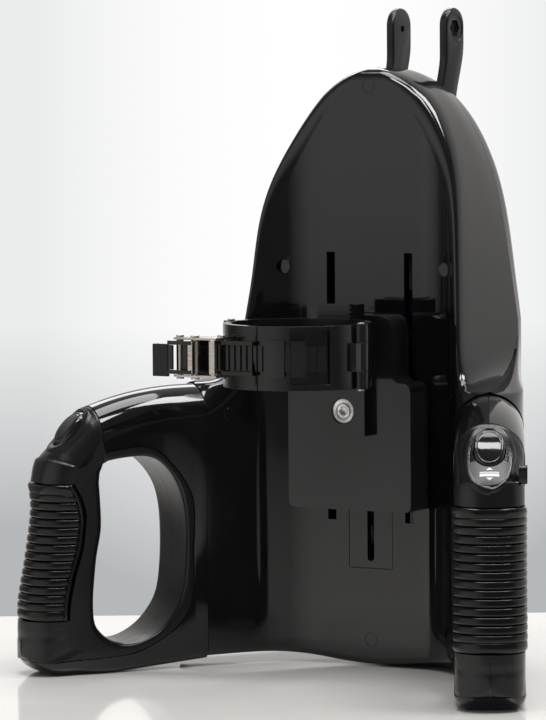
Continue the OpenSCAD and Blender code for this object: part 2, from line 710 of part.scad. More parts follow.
module handle_half() {
    difference() {
        handle_half_body();
        on_thumb_face() {
            translate([0, 0, -9]) oval(rocker_l + 1.8, rocker_w + 1, 20);
            translate([-7.5, -11, -11.5]) cube([15, 18.3, 8]);
            translate([-13, 0, -axle_depth]) rotate([0, 90, 0])
                cylinder(r = 1.5 + run_gap, h = 26, $fn = 24);
        }
    }
}

module left_handle_front() color(matte) on_arm(-1) handle_half();
module left_handle_rear() color(matte) on_arm(-1) mirror([0, 1, 0]) handle_half();
module plate_pocket() {
    mid = (plate_face_a + plate_face_b) / 2;
    tilt = atan2(plate_face_b.x - plate_face_a.x, plate_face_a.y - plate_face_b.y);
    translate([mid.x, 0, mid.y]) rotate([0, 90 - tilt, 0]) rotate([0, 0, 90])
        translate([0, 1, -0.8]) children();
}
module right_handle_front() color(matte) on_arm(1) difference() {
    handle_half();
    plate_pocket() linear_extrude(10) plate_outline(0.2);
}
module right_handle_rear() color(matte) on_arm(1) difference() {
    mirror([0, 1, 0]) handle_half();
    plate_pocket() linear_extrude(10) plate_outline(0.2);
    translate([button_s, handle_half_t - 6, button_z]) rotate([-90, 0, 0])
        oval(12.6, 7.6, 10);
}
// Flat-topped shield under the right rocker
module plate_outline(grow) {
    polygon([for (p = [[-9, 5], [9, 5], [8, -1], [3.5, -5.5], [-3.5, -5.5], [-8, -1]])
        p + grow * [sign(p.x), sign(p.y)]]);
}
module label_plate() {
    color([0.3, 0.3, 0.31]) on_arm(1) plate_pocket() translate([0, 0, 0.05])
        linear_extrude(0.9) plate_outline(0);
}
module side_button() {
    color(matte) on_arm(1)
        translate([button_s, handle_half_t - 6 + button_travel + 0.5, button_z]) {
            rotate([-90, 0, 0]) oval(12, 7, 5.6);
        }
}

module rocker() {
    on_thumb_face() difference() {
        union() {
            translate([0, 0, -3.5]) oval(rocker_l, rocker_w, 5.7);
            translate([-rocker_w / 2 - 2, 0, -axle_depth]) rotate([0, 90, 0])
                cylinder(r = 1.5, h = rocker_w + 4, $fn = 24);
            translate([-5, -1.4, -axle_depth]) cube([10, 2.8, 3]);
        }
        translate([0, 0, 15.2]) sphere(r = 14.5, $fn = 48);
    }
}
module left_rocker() color(gloss) on_arm(-1) rocker();
module right_rocker() color(gloss) on_arm(1) rocker();

module switch_board() {
    on_thumb_face() {
        translate([-7, -10.5, -11.2]) cube([14, 17.3, 1.4]);
        for (y = [-6.5, 3.3]) translate([-3, y - 3, -9.9]) {
            cube([6, 6, 2.6]);
            translate([3, 3, 2.5]) cylinder(r = 1.6, h = 2.4, $fn = 24);
        }
    }
}
module left_switch_board() color([0.1, 0.35, 0.2]) on_arm(-1) switch_board();
module right_switch_board() color([0.1, 0.35, 0.2]) on_arm(1) switch_board();

// A half outline on the arm's inner side, carried back along its outer side
function turned(v) = [for (i = [len(v) - 1:-1:0]) [v[i].x, -v[i].y, v[i].z]];
// Ribbed rubber sleeve over the outer side of the grip post
module grip() {
    rib_zone = grip_z1 - grip_z0 - 12;
    pitch = rib_zone / rib_count;
    levels = concat([[grip_z0, 0.4], [grip_z0 + 1.5, 1]],
        [for (i = [0:rib_count - 1]) let(z = grip_z0 + 6 + i * pitch)
            each [[z, 0], [z + 0.3 * pitch, 1], [z + 0.75 * pitch, 1]]],
        [[grip_z1 - 6, 0], [grip_z1 - 1.5, 1], [grip_z1, 0.4]]);
    ti = handle_half_t - grip_t;
    to = handle_half_t;
    ring_loft([for (l = levels)
        let(z = l[0], b = rib_h * l[1], e = pad_s(z) + 2, r = grip_r(z),
            c = [edge_s(z) - rib_h - r, r - to],
            half_out = concat([[e, -to - 0.3 * b], [e + 2.5, -to - b]],
                [for (a = [0, 30, 60]) c + (r + b) * [sin(a), -cos(a)]]),
            half_in = concat([[e, -ti], [e + 2.5, -ti]],
                [for (a = [0, 30, 60]) c + (r - grip_t) * [sin(a), -cos(a)]]),
            out = [for (p = half_out) [p.x, p.y, z]], in = [for (p = half_in) [p.x, -p.y, z]])
        concat(
            out, [[c.x + r + b, 0, z]], turned(out), in, [[c.x + r - grip_t, 0, z]], turned(in)
        )], true);
}
module left_grip() color(rubber) on_arm(-1) grip();
module right_grip() color(rubber) on_arm(1) grip();

// ---------------------------------------------------------------- carriage
base_y = -4.5;
base_t = 3;
cover_screw_xz = [[38, 118], [-38, 118], [38, 184], [-38, 184]];
mount_screw_z = 173;

// Outline of the carriage plate and its neck, inset by a given amount
module plate_profile(inset) {
    w = plate_half_w - inset;
    n = neck_half_w - inset;
    low = plate_z0 + inset;
    high = neck_z1 - inset;
    r = 4.5;
    turn_r = 6;
    arc = [for (a = [0, 22.5, 45, 67.5, 90]) a];
    right = concat(
        [for (a = arc) [w - r + r * sin(a), low + r - r * cos(a)]],
        [for (a = arc) [w - turn_r + turn_r * cos(a), shoulder_z - turn_r - 3 + turn_r * sin(a)]],
        [for (a = arc) [n + turn_r - turn_r * sin(a), shoulder_z - 3 + turn_r - turn_r * cos(a)]],
        [for (a = arc) [n - 8 + 8 * cos(a), high - 8 + 8 * sin(a)]]
    );
    polygon(concat(right, [for (i = [len(right) - 1:-1:0]) [-right[i].x, right[i].y]]));
}
// Extrudes an outline drawn in X and Z from y0 back to y1
module slab(y0, y1) {
    translate([0, y1, 0]) rotate([90, 0, 0]) linear_extrude(y1 - y0) children();
}

module carriage_cover() {
    color(gloss) in_frame() difference() {
        union() {
            difference() {
                slab(-plate_face, base_y - base_t) plate_profile(0);
                slab(-plate_face + plate_wall, 0) plate_profile(plate_wall);
            }
            for (q = cover_screw_xz)
                rod_y([q.x, -plate_face + plate_wall - 1, q.y], 3.6, plate_face - plate_wall + 1
                    + base_y - base_t);
            rod_y([0, -plate_face + plate_wall - 1, mount_screw_z], 8, 12);
        }
        rod_y([0, -plate_face - 1, mount_screw_z], 4 + run_gap, 20);
        for (q = cover_screw_xz) rod_y([q.x, base_y - base_t - 10, q.y], screw_r + run_gap, 12);
    }
}

// Back plate of the carriage, clamped to the guide arms
module carriage_base() {
    color(matte) in_frame() difference() {
        slab(base_y - base_t + eps, base_y) plate_profile(0);
        for (q = cover_screw_xz) rod_y([q.x, base_y - base_t - 1, q.y], screw_r + 0.2, 6);
        for (side = [-1, 1]) for (z = [guide_arm_z + 7, guide_arm_z + guide_arm_h - 7])
            rod_y([side * slot_x, base_y - base_t - 1, z], screw_r + 0.2, 6);
    }
}

module carriage_screws() {
    color(steel) in_frame() {
        for (q = cover_screw_xz) {
            rod_y([q.x, base_y, q.y], screw_head_r - 0.3, 1.4);
            rod_y([q.x, base_y - base_t - 8, q.y], screw_r, base_t + 8 + eps);
        }
        for (side = [-1, 1]) for (z = [guide_arm_z + 7, guide_arm_z + guide_arm_h - 7]) {
            rod_y([side * slot_x, base_y - base_t - 1.8, z], screw_head_r, 1.8);
            rod_y([side * slot_x, base_y - base_t - eps, z], screw_r, base_t + 8);
        }
    }
}

// Countersunk screw in its dished washer
screw_disc_r = 8.2;
boss_face = 35;
module carriage_screw() {
    color(steel) in_frame() difference() {
        union() {
            rod_y([0, -boss_face + 0.9, mount_screw_z], screw_disc_r, 2, 64);
            rod_y([0, -boss_face + 2, mount_screw_z], 4, 22, 48);
        }
        rod_y([0, -boss_face, mount_screw_z], 5.2, 1.5, 48);
        rod_y([0, -boss_face + 1, mount_screw_z], 2.9, 5, 6);
    }
}

// ---------------------------------------------------------------- ring clamp
hinge_x = 49.5;
hinge_y = -ring_y - 2;
knuckle_r = 5;
knuckle_z0 = ring_z0 + 11.6;
knuckle_z1 = ring_z0 + ring_h - 11.8;
ring_z1 = ring_z0 + ring_h;
ring_in = ring_r - ring_wall;
clamp_r = ring_in - pad_t;
strap_z = ring_z0 + ring_h / 2;

module ring_band(r0, r1, z0, z1) {
    translate([0, -ring_y, z0]) difference() {
        cylinder(r = r1, h = z1 - z0, $fn = 96);
        translate([0, 0, -1]) cylinder(r = r0, h = z1 - z0 + 2, $fn = 96);
    }
}
// The part of a ring between two angles, up to 100 degrees apart
module sector(a0, a1, r = 90) {
    mid = (a0 + a1) / 2;
    polygon([[0, 0], r * [cos(a0), sin(a0)], 1.5 * r * [cos(mid), sin(mid)], r * [cos(a1), sin(a1)]]);
}
module ring_sector(a0, a1, z0 = 100, h = 200) {
    translate([0, -ring_y, z0]) linear_extrude(h) sector(a0, a1);
}
module knuckle(z0, z1, r = knuckle_r) {
    translate([hinge_x, hinge_y, z0]) cylinder(r = r, h = z1 - z0, $fn = 48);
}

// Fixed rear half of the ring, its ribbed back block and its screwed-on tongue
module ring_mount() {
    color(gloss) in_frame() difference() {
        union() {
            intersection() {
                ring_band(ring_in, ring_r, ring_z0, ring_z1);
                union() {
                    ring_sector(0, 92);
                    ring_sector(88, 180);
                }
            }
            for (side = [0, 1]) mirror([side, 0, 0]) for (z = [
                [ring_z0, knuckle_z0 - part_gap], [knuckle_z1 + part_gap, ring_z1]])
                knuckle(z[0], z[1]);
            translate([-12.5, -ring_y + ring_r - 1.6, ring_z0])
                cube([25, ring_y - ring_r - plate_face + 1.6 - eps, ring_h + 9]);
            for (i = [0:5]) translate([-12.5, -ring_y + ring_in + 1, ring_z0 + ring_h - 6 + i * 2.8])
                cube([25, 5, 1.6]);
            translate([-17, -boss_face, 157]) cube([34, boss_face - plate_face - eps, 37]);
        }
        for (side = [0, 1]) mirror([side, 0, 0]) {
            knuckle(ring_z0 - 1, ring_z1 + 1, hinge_pin_d / 2 + run_gap);
            knuckle(knuckle_z0 - part_gap, knuckle_z1 + part_gap, knuckle_r + 0.6);
        }
        rod_y([0, -boss_face - 1, mount_screw_z], screw_disc_r + 0.3, 3.9, 64);
        rod_y([0, -boss_face - 1, mount_screw_z], 4 + run_gap, 20, 48);
    }
}

module jaw(window) {
    difference() {
        union() {
            intersection() {
                ring_band(ring_in, ring_r, ring_z0 + 0.2, ring_z1 - 0.2);
                ring_sector(-6.5, -89.6);
            }
            knuckle(knuckle_z0, knuckle_z1);
            intersection() {
                translate([hinge_x - 8, hinge_y - 9, knuckle_z0])
                    cube([8 + knuckle_r - 1.5, 9, knuckle_z1 - knuckle_z0]);
                ring_band(ring_in, ring_r + 4.5, ring_z0, ring_z1);
            }
        }
        for (z = [[ring_z0 - 1, knuckle_z0], [knuckle_z1, ring_z1 + 1]])
            knuckle(z[0], z[1], knuckle_r + 0.6);
        knuckle(ring_z0 - 1, ring_z1 + 1, hinge_pin_d / 2 + run_gap);
        if (window) intersection() {
            ring_band(ring_r - 2, ring_r + 5, ring_z0 + 4, ring_z1 - 3);
            ring_sector(-32, -63);
        }
    }
}
guide_y = -ring_y - ring_r;
guide_w = strap_h + 1;
guide_l = 28;
module right_jaw() color(gloss) in_frame() jaw(true);
// Left jaw with the channel that leads the strap to the buckle
module left_jaw() {
    color(gloss) in_frame() {
        difference() {
            union() {
                mirror([1, 0, 0]) jaw(false);
                difference() {
                    translate([-guide_l, guide_y - 5, strap_z - guide_w / 2 - 2.5])
                        cube([guide_l - 0.5, 11, guide_w + 5]);
                    translate([0, -ring_y, 100]) cylinder(r = ring_in + 1, h = 200, $fn = 96);
                }
                translate([-guide_l - 5, guide_y, strap_z - guide_w / 2 - 2.5])
                    cube([6, 6, guide_w + 5]);
            }
            translate([-guide_l - 10, guide_y - 8, strap_z - guide_w / 2])
                cube([guide_l + 12, 8, guide_w]);
            translate([-buckle_x, buckle_y, 100]) cylinder(r = 1.5 + run_gap, h = 200, $fn = 32);
        }
    }
}

// Rubber pad, grooved on the face that holds what is clamped
pad_half_w = 17;
pad_groove_r = 1.1;
module jaw_pad(a) {
    in_frame() translate([0, -ring_y, ring_z0 + 6]) rotate([0, 0, a]) difference() {
        intersection() {
            cylinder(r = ring_in - 0.05, h = ring_h - 12, $fn = 96);
            translate([0, -pad_half_w, 0]) cube([ring_r, 2 * pad_half_w, ring_h]);
        }
        translate([0, 0, -1]) cylinder(r = clamp_r, h = ring_h, $fn = 96);
        for (b = [-16:8:16]) rotate([0, 0, b]) translate([clamp_r, 0, -1])
            cylinder(r = pad_groove_r, h = ring_h, $fn = 16);
    }
}
module ring_pads() color(rubber) for (a = [38, 142]) jaw_pad(a);
module right_jaw_pad() color(rubber) jaw_pad(-42);
module left_jaw_pad() color(rubber) jaw_pad(-138);

module hinge_pins() {
    color(steel) in_frame() for (side = [0, 1]) mirror([side, 0, 0]) {
        knuckle(ring_z0 - 0.8, ring_z1 + 0.8, hinge_pin_d / 2);
        knuckle(ring_z1 + 0.1, ring_z1 + 1.1, 2.4);
        knuckle(ring_z0 - 1.1, ring_z0 - 0.1, 2.4);
    }
}

// Ladder strap: bent round the right jaw, then straight through the buckle
strap_r = ring_r + 0.35;
strap_t = 1.4;
strap_end = 58;
strap_teeth = floor((strap_end - 6) / strap_pitch);
strap_y = guide_y - 0.35 - strap_t;
module ladder_strap() {
    tooth = 1.1;
    z0 = strap_z - strap_h / 2;
    color(rubber) in_frame() {
        intersection() {
            ring_band(strap_r, strap_r + strap_t, z0, z0 + strap_h);
            union() {
                ring_sector(-36, -64);
                ring_sector(-62, -89.2);
            }
        }
        for (a = [-42:-strap_pitch / ring_r * 180 / PI:-88]) translate([0, -ring_y, z0])
            rotate([0, 0, a]) translate([strap_r + strap_t - 0.2, -0.9, 0])
                cube([tooth + 0.2, 1.8, strap_h]);
        for (a = [[-67, -81], [-52, -62]]) intersection() {
            ring_band(strap_r, strap_r + strap_t + 2.6, strap_z - 11.5, strap_z + 11.5);
            ring_sector(a[0], a[1]);
        }
        translate([-strap_end, strap_y, z0]) cube([strap_end - 0.5, strap_t, strap_h]);
        translate([-1, strap_y - tooth, z0]) cube([2.2, tooth + strap_t - 0.1, strap_h]);
        for (i = [0:strap_teeth]) translate([-3 - i * strap_pitch - 0.9, strap_y - tooth, z0])
            cube([1.8, tooth + eps, strap_h]);
    }
}

// Metal buckle: a yoke on the guide's pin, a lever across it and a sprung pawl
buckle_x = guide_l + 1;
buckle_y = guide_y + 3.2;
yoke_t = 1.5;
yoke_low = strap_z - guide_w / 2 - 2.5 - part_gap - yoke_t;
yoke_high = strap_z + guide_w / 2 + 2.5 + part_gap;
lever_x = 42;
lever_y = guide_y - 8;
pawl_x = 54;
pawl_y = guide_y - 7.5;
finger_h = 21;
module yoke_side() {
    // Tapers from the guide's pin to the pawl's pin
    polygon([[-buckle_x + 4, buckle_y + 3.5], [-buckle_x + 4, guide_y - 10], [-lever_x, guide_y - 12],
        [-pawl_x - 3.5, guide_y - 10], [-pawl_x - 3.5, guide_y - 3.5], [-lever_x, buckle_y + 3.5]]);
}
module buckle_frame() {
    color(steel) in_frame() difference() {
        union() {
            for (z = [yoke_low, yoke_high]) translate([0, 0, z]) linear_extrude(yoke_t) yoke_side();
            translate([-lever_x - 9, guide_y + 0.6, yoke_low]) cube([14.5, 1.2, yoke_high - yoke_low
                + yoke_t]);
        }
        translate([-buckle_x, buckle_y, 100]) cylinder(r = 1.5 + run_gap, h = 200, $fn = 32);
        translate([-lever_x, lever_y, 100]) cylinder(r = 1.5 + run_gap, h = 200, $fn = 32);
        translate([-pawl_x, pawl_y, 100]) cylinder(r = 1.2 + run_gap, h = 200, $fn = 32);
    }
}
module headed_pin(x, y, r) {
    translate([-x, y, yoke_low - 0.6])
        cylinder(r = r, h = yoke_high - yoke_low + yoke_t + 1.2, $fn = 32);
    translate([-x, y, yoke_high + yoke_t + 0.1]) cylinder(r = r + 1.3, h = 1.2, $fn = 32);
    translate([-x, y, yoke_low - 1.3]) cylinder(r = r + 1.3, h = 1.2, $fn = 32);
}
module buckle_pin() color(steel) in_frame() headed_pin(buckle_x, buckle_y, 1.5);
module lever_pin() color(steel) in_frame() headed_pin(lever_x, lever_y, 1.5);
module pawl_pin() color(steel) in_frame() headed_pin(pawl_x, pawl_y, 1.2);

// Lever: a toothed cam on the cross pin and a finger plate beyond the yoke
module buckle_lever() {
    z0 = yoke_low + yoke_t + part_gap;
    h = yoke_high - yoke_low - yoke_t - 2 * part_gap;
    color(matte) in_frame() difference() {
        union() {
            translate([-lever_x, lever_y, z0]) cylinder(r = 4, h = h, $fn = 40);
            translate([-lever_x - 18, lever_y - 6.5, z0]) cube([18, 2.5, h]);
            translate([-lever_x - 3, lever_y - 6.5, z0]) cube([4, 5, h]);
            translate([-lever_x - 29, lever_y - 6.5, strap_z - 12.5]) cube([12, 2.5, finger_h]);
            translate([-lever_x - 29, lever_y - 6.5, strap_z - 12.5]) cube([2.5, 5.5, finger_h]);
        }
        translate([-lever_x, lever_y, 100]) cylinder(r = 1.5 + run_gap, h = 200, $fn = 32);
    }
}
module pawl() {
    z0 = yoke_low + yoke_t + part_gap;
    h = yoke_high - yoke_low - yoke_t - 2 * part_gap;
    color(steel) in_frame() difference() {
        union() {
            translate([-pawl_x, pawl_y, z0]) cylinder(r = 2.4, h = h, $fn = 32);
            translate([-pawl_x, pawl_y - 1, z0 + 2]) cube([7.2, 2, h - 4]);
            translate([-pawl_x + 6, pawl_y - 1, z0 + 2]) cube([1.2, 5.4, h - 4]);
        }
        translate([-pawl_x, pawl_y, 100]) cylinder(r = 1.2 + run_gap, h = 200, $fn = 32);
    }
}

// ---------------------------------------------------------------- slide and drive
rod_y0 = 14.5;
rod_r = rod_d / 2;
rod_z0 = slot_z0 - 16;
rod_z1 = slot_z1 + 16;
rod_block_h = 12;
slider_z = guide_arm_z - 2;
slider_h = guide_arm_h + 6;
bush_r = rod_r + 2;
bush_l = 12;
belt_y = 24;
belt_t = 1.5;

chassis_half_w = 44;
chassis_end_low = 18;
chassis_end_high = 14;
motor_l = body_depth - chassis_y - chassis_t - motor_room;

// Steel plate that ties the rod blocks, the motor and the idler together
module chassis_plate() {
    color(steel) in_frame() difference() {
        translate([-chassis_half_w, chassis_y, pulley_low_z - chassis_end_low])
            cube([2 * chassis_half_w, chassis_t,
                pulley_high_z + chassis_end_high - pulley_low_z + chassis_end_low]);
        rod_y([0, chassis_y - 1, pulley_low_z], 7, 6, 48);
        for (q = chassis_boss) rod_y([q.x, chassis_y - 1, q.y], screw_r + 0.2, 6);
        for (z = [100, 190]) translate([-20, chassis_y - 1, z]) cube([40, 6, 60]);
        for (side = [-1, 1]) for (z = [rod_z0 + rod_block_h / 2 - 2, rod_z1 - rod_block_h / 2 + 2])
            rod_y([side * slot_x, chassis_y - 1, z], screw_r + 0.2, 6);
        rod_y([0, chassis_y - 1, pulley_high_z], 2.5 + 0.02, 6);
    }
}

module rod_blocks() {
    color(matte) in_frame() for (side = [-1, 1]) difference() {
        union() for (z = [rod_z0 - 2, rod_z1 + 2 - rod_block_h])
            translate([side * slot_x - 10, wall + 0.4, z])
                cube([20, chassis_y - wall - 0.4 - eps, rod_block_h]);
        rod_z([side * slot_x, rod_y0, rod_z0], rod_r + 0.02, rod_z1 - rod_z0);
        for (z = [rod_z0 + rod_block_h / 2 - 2, rod_z1 - rod_block_h / 2 + 2])
            rod_y([side * slot_x, chassis_y - 9, z], screw_r + run_gap, 10);
    }
}
module rod_z(p, r, l) {
    translate(p) cylinder(r = r, h = l, $fn = 48);
}
module guide_rods() {
    color(steel) in_frame() for (side = [-1, 1])
        rod_z([side * slot_x, rod_y0, rod_z0 + 0.2], rod_r, rod_z1 - rod_z0 - 0.4);
}

// Block on the rods, with the arms and the tongue that reach out through the slots
module slider_block() {
    color(matte) in_frame() difference() {
        union() {
            translate([-40, rod_y0 - 7.5, slider_z]) cube([80, 14.5, slider_h]);
            for (side = [-1, 1])
                translate([side * slot_x - 2.75, base_y + eps, guide_arm_z])
                    cube([5.5, rod_y0 - 7 - base_y, guide_arm_h]);
            translate([-8, rod_y0 - 7.5, tongue_z - 1]) cube([16, 5, slider_z - tongue_z + 2]);
            translate([-tongue_w / 2, base_y + eps, tongue_z])
                cube([tongue_w, rod_y0 - 7 - base_y, tongue_h]);
        }
        for (side = [-1, 1]) {
            rod_z([side * slot_x, rod_y0, slider_z - 1], bush_r + 0.02, slider_h + 2);
            for (z = [guide_arm_z + 7, guide_arm_z + guide_arm_h - 7])
                rod_y([side * slot_x, base_y - 1, z], screw_r + 0.02, 9.4);
        }
    }
}
module bushings() {
    color([0.7, 0.55, 0.3]) in_frame() for (side = [-1, 1])
        for (z = [slider_z, slider_z + slider_h - bush_l]) difference() {
            rod_z([side * slot_x, rod_y0, z], bush_r, bush_l);
            rod_z([side * slot_x, rod_y0, z - 1], rod_r + run_gap, bush_l + 2);
        }
}
module belt_clamp() {
    y0 = rod_y0 + 7;
    z = slider_z + 12;
    color(steel) in_frame() {
        translate([belt_r - 3, y0 + eps, z]) cube([7.5, 1.5, 20]);
        translate([belt_r - 3, y0, z]) cube([2.8, belt_w + 3.5, 20]);
        translate([belt_r + belt_t + 0.2, y0 + eps, z]) cube([2.8, belt_w + 3.5, 20]);
    }
}
module loop_profile(r) {
    for (z = [pulley_low_z, pulley_high_z]) translate([0, z]) circle(r = r, $fn = 64);
    translate([-r, pulley_low_z]) square([2 * r, pulley_high_z - pulley_low_z]);
}
module belt() {
    color(rubber) in_frame() slab(belt_y, belt_y + belt_w) difference() {
        loop_profile(belt_r + belt_t);
        loop_profile(belt_r);
    }
}
module pulley(z, bore) {
    difference() {
        union() {
            rod_y([0, belt_y - 0.3, z], belt_r - 0.1, belt_w + 0.6, 64);
            for (y = [belt_y - 1.5, belt_y + belt_w + 0.3]) rod_y([0, y, z], belt_r + 2.2, 1.2, 64);
        }
        for (i = [0:15]) translate([0, 0, z]) rotate([0, i * 22.5, 0]) translate([0, 0, -z])
            rod_y([belt_r + 0.3, belt_y - 0.2, z], 1.1, belt_w + 0.4, 16);
        rod_y([0, belt_y - 3, z], bore, belt_w + 6, 48);
    }
}
module drive_pulley() {
    color(steel) in_frame() {
        pulley(pulley_low_z, 2.4);
        rod_y([0, belt_y - 2, pulley_low_z], 2.5, chassis_y + 6 - belt_y, 48);
    }
}
module idler_pulley() {
    color(steel) in_frame() pulley(pulley_high_z, 2.5 + run_gap);
}
module idler_axle() {
    color(steel) in_frame() {
        rod_y([0, belt_y - 3, pulley_high_z], 2.5, chassis_y + chassis_t - belt_y + 3, 48);
        rod_y([0, belt_y - 4, pulley_high_z], 4, 1.5, 48);
    }
}
module motor() {
    y0 = chassis_y + chassis_t + eps;
    color(steel) in_frame() difference() {
        union() {
            rod_y([0, y0, pulley_low_z], motor_d / 2, motor_l - 2, 96);
            rod_y([0, y0 + 2, pulley_low_z], 6, motor_l - 2, 48);
            rod_y([0, chassis_y, pulley_low_z], 6.8, chassis_t + 1, 48);
        }
        rod_y([0, chassis_y - 1, pulley_low_z], 2.5 + run_gap, 12, 48);
    }
}

// ---------------------------------------------------------------- electrics
module circuit_board() {
    y0 = chassis_y + chassis_t;
    color([0.1, 0.35, 0.2]) in_frame() {
        for (side = [-1, 1]) for (z = [106, 184]) rod_y([side * 30, y0 + eps, z], 2.5, 5);
        translate([-36, y0 + 4.8, 100]) cube([72, 1.6, 90]);
        for (q = [[-22, 120, 12], [6, 118, 16], [-8, 150, 20], [18, 156, 10]])
            translate([q.x, y0 + 6.3, q.y]) cube([q.z, 3, q.z]);
    }
}
module battery_pack() {
    y0 = chassis_y + chassis_t;
    cell_r = 9.2;
    color([0.15, 0.3, 0.5]) in_frame() {
        for (i = [0:3]) translate([-33, y0 + cell_r + 1.5, 216 + i * 19]) rotate([0, 90, 0])
            cylinder(r = cell_r, h = 66, $fn = 48);
        for (x = [-36, 33 - eps]) translate([x, y0 + eps, 205]) cube([3, 22, 79]);
    }
}
module charge_socket() {
    color(matte) in_frame() difference() {
        union() {
            rod_y([0, body_depth - 14, socket_z], socket_r, 12.5, 48);
            rod_y([0, body_depth - 14, socket_z], socket_r + 2, 5, 48);
        }
        rod_y([0, body_depth - 11, socket_z], 3.6, 12, 32);
    }
}

front_cover();
rear_cover();
slot_panel();
screw_plugs();
fork();
left_arm_front();
left_arm_rear();
right_arm_front();
right_arm_rear();
left_handle_front();
left_handle_rear();
right_handle_front();
right_handle_rear();
left_grip();
right_grip();
left_rocker();
right_rocker();
left_switch_board();
right_switch_board();
label_plate();
side_button();
carriage_cover();
carriage_base();
carriage_screw();
ring_mount();
ring_pads();
left_jaw();
right_jaw();
left_jaw_pad();
right_jaw_pad();
hinge_pins();
ladder_strap();
buckle_frame();
buckle_pin();
buckle_lever();
lever_pin();
pawl();
pawl_pin();
chassis_plate();
rod_blocks();
guide_rods();
slider_block();
bushings();
belt_clamp();
belt();
drive_pulley();
idler_pulley();
idler_axle();
motor();
circuit_board();
battery_pack();
charge_socket();
housing_screws();
carriage_screws();
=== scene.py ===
"""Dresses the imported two-grip ring-clamp unit: smooth covers, arms, handles and grips,
bevelled clamp and buckle parts, and the finish of every piece. Blender works in metres;
the shape values below are in millimetres, as in the part's source."""
import math

import bmesh
import bpy
import numpy as np
from mathutils import Matrix, Vector
from mathutils.bvhtree import BVHTree


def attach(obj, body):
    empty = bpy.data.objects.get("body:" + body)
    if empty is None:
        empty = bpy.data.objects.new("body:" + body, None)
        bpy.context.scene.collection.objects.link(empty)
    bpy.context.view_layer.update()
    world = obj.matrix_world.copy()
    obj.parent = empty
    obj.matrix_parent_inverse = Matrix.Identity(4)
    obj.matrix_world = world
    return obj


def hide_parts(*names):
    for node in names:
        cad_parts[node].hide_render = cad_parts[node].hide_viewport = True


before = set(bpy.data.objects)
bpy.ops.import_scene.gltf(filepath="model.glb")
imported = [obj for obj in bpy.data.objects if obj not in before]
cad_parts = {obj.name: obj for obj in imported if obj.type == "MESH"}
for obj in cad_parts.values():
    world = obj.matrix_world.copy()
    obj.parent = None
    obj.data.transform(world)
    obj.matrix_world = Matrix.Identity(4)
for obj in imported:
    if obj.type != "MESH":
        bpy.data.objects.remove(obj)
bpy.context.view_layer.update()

MM = 0.001
SIDES = ((1, "right"), (-1, "left"))

# ---------------------------------------------------------------- shape values
panel_y = 34.84
dome_h, dome_half_w, dome_start_z, dome_pow = 397.0, 91.0, 100.0, 2.2
body_depth, wall, rim_r, seam_gap = 80.0, 2.8, 15.0, 0.3
arch_h, bottom_r, part_y = 6.0, 5.0, 52.0
flat_half, trough_r, splay = 35.8, 50.0, 30.0
arm_reach, arm_half_t, crest_z, crest_drop, seam_s = 135.0, 22.5, 188.0, 12.5, 103.0
handle_half_t, opening_round, post_round = 22.0, 6.0, 20.0
grip_t, rib_h, rib_count, grip_z0, grip_z1 = 2.6, 1.5, 14, 37.0, 126.0
rocker_l, rocker_w = 29.0, 20.0
side_draft, fall_y, crown_fall, crown_edge, flare_z = 9.0, 30.0, 16.0, 11.0, 230.0
brow_w, brow_z, brow_rise, brow_fade_w = 6.5, 218.0, 110.0, 36.0
fuller_from, fuller_span, crown_rim_z, crown_rim_rise = 0.5, 0.32, 285.0, 80.0
crown_z, corner_r, dome_fuller, crown_rim = 340.0, 38.0, 0.5, 3.0
slot_x, slot_w, slot_z0, slot_z1 = 30.0, 6.5, 96.0, 275.0
panel_half_w, panel_z0, panel_z1 = 17.0, 65.0, 232.0
plug_r, plug_t = 4.5, 1.2
button_s, button_z = -1.0, 146.0
fork_y, fork_gap, ear_t, ear_w = 74.0, 35.4, 6.0, 24.0
fork_base_top, fork_base_z, fork_foot_w = 376.0, 352.0, 10.0
socket_z, socket_r, screw_z = 32.0, 5.5, 173.0
part_gap, above_fork_z = 0.3, 440

turn = math.radians(90 - splay)
curve_a = flat_half + trough_r * turn
arm_dir = np.array([math.sin(math.radians(splay)), -math.cos(math.radians(splay))])
arm_in = np.array([-math.cos(math.radians(splay)), -math.sin(math.radians(splay))])
curve_end = np.array([flat_half + trough_r * math.sin(turn), -trough_r * (1 - math.cos(turn))])
foot = curve_end - arm_half_t * arm_in + arm_reach * arm_dir
seam_a = curve_a + arm_reach - seam_s


def mix(a, b, t):
    return a + (b - a) * t


def clamp01(t):
    return min(1.0, max(0.0, t))


def ease(t):
    """0 to 1 with a soft start and end."""
    t = clamp01(t)
    return t * t * (3 - 2 * t)


def unit(v):
    return v / max(float(np.linalg.norm(v)), 1e-9)


def lookup(x, table):
    xs, ys = zip(*sorted(table))
    return float(np.interp(x, xs, ys))


# ---------------------------------------------------------------- meshes
def new_object(name, data):
    made = bpy.data.objects.new(name, data)
    bpy.context.scene.collection.objects.link(made)
    return made


def mesh_from(name, points, faces):
    """A mesh from points in the part's own axes (mm)."""
    mesh = bpy.data.meshes.new(name)
    points = np.asarray(points, float).reshape(-1, 3) + (0, panel_y, 0)
    mesh.from_pydata((points * MM).tolist(), [], [list(f) for f in faces])
    mesh.validate()
    return mesh


def new_piece(name, points, faces, finish, body, slot, replaced=(), sharp=32):
    """A piece from points in the part's own axes (mm), finished as it is."""
    finish_piece(new_object(name, mesh_from(name, points, faces)), finish, body, slot, replaced, sharp)


def finish_piece(piece, finish, body, slot, replaced=(), sharp=32):
    """Gives a piece its finish and body and hides the nodes it stands for; smooth up to the sharp angle. The
    slot is not used.
    """
    piece.data.materials.clear()
    piece.data.materials.append(finish)
    outward(piece.data)
    shade(piece.data, math.radians(sharp))
    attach(piece, body)
    if replaced:
        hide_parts(*replaced)


def outward(mesh):
    bm = bmesh.new()
    bm.from_mesh(mesh)
    bmesh.ops.recalc_face_normals(bm, faces=bm.faces)
    bm.to_mesh(mesh)
    bm.free()


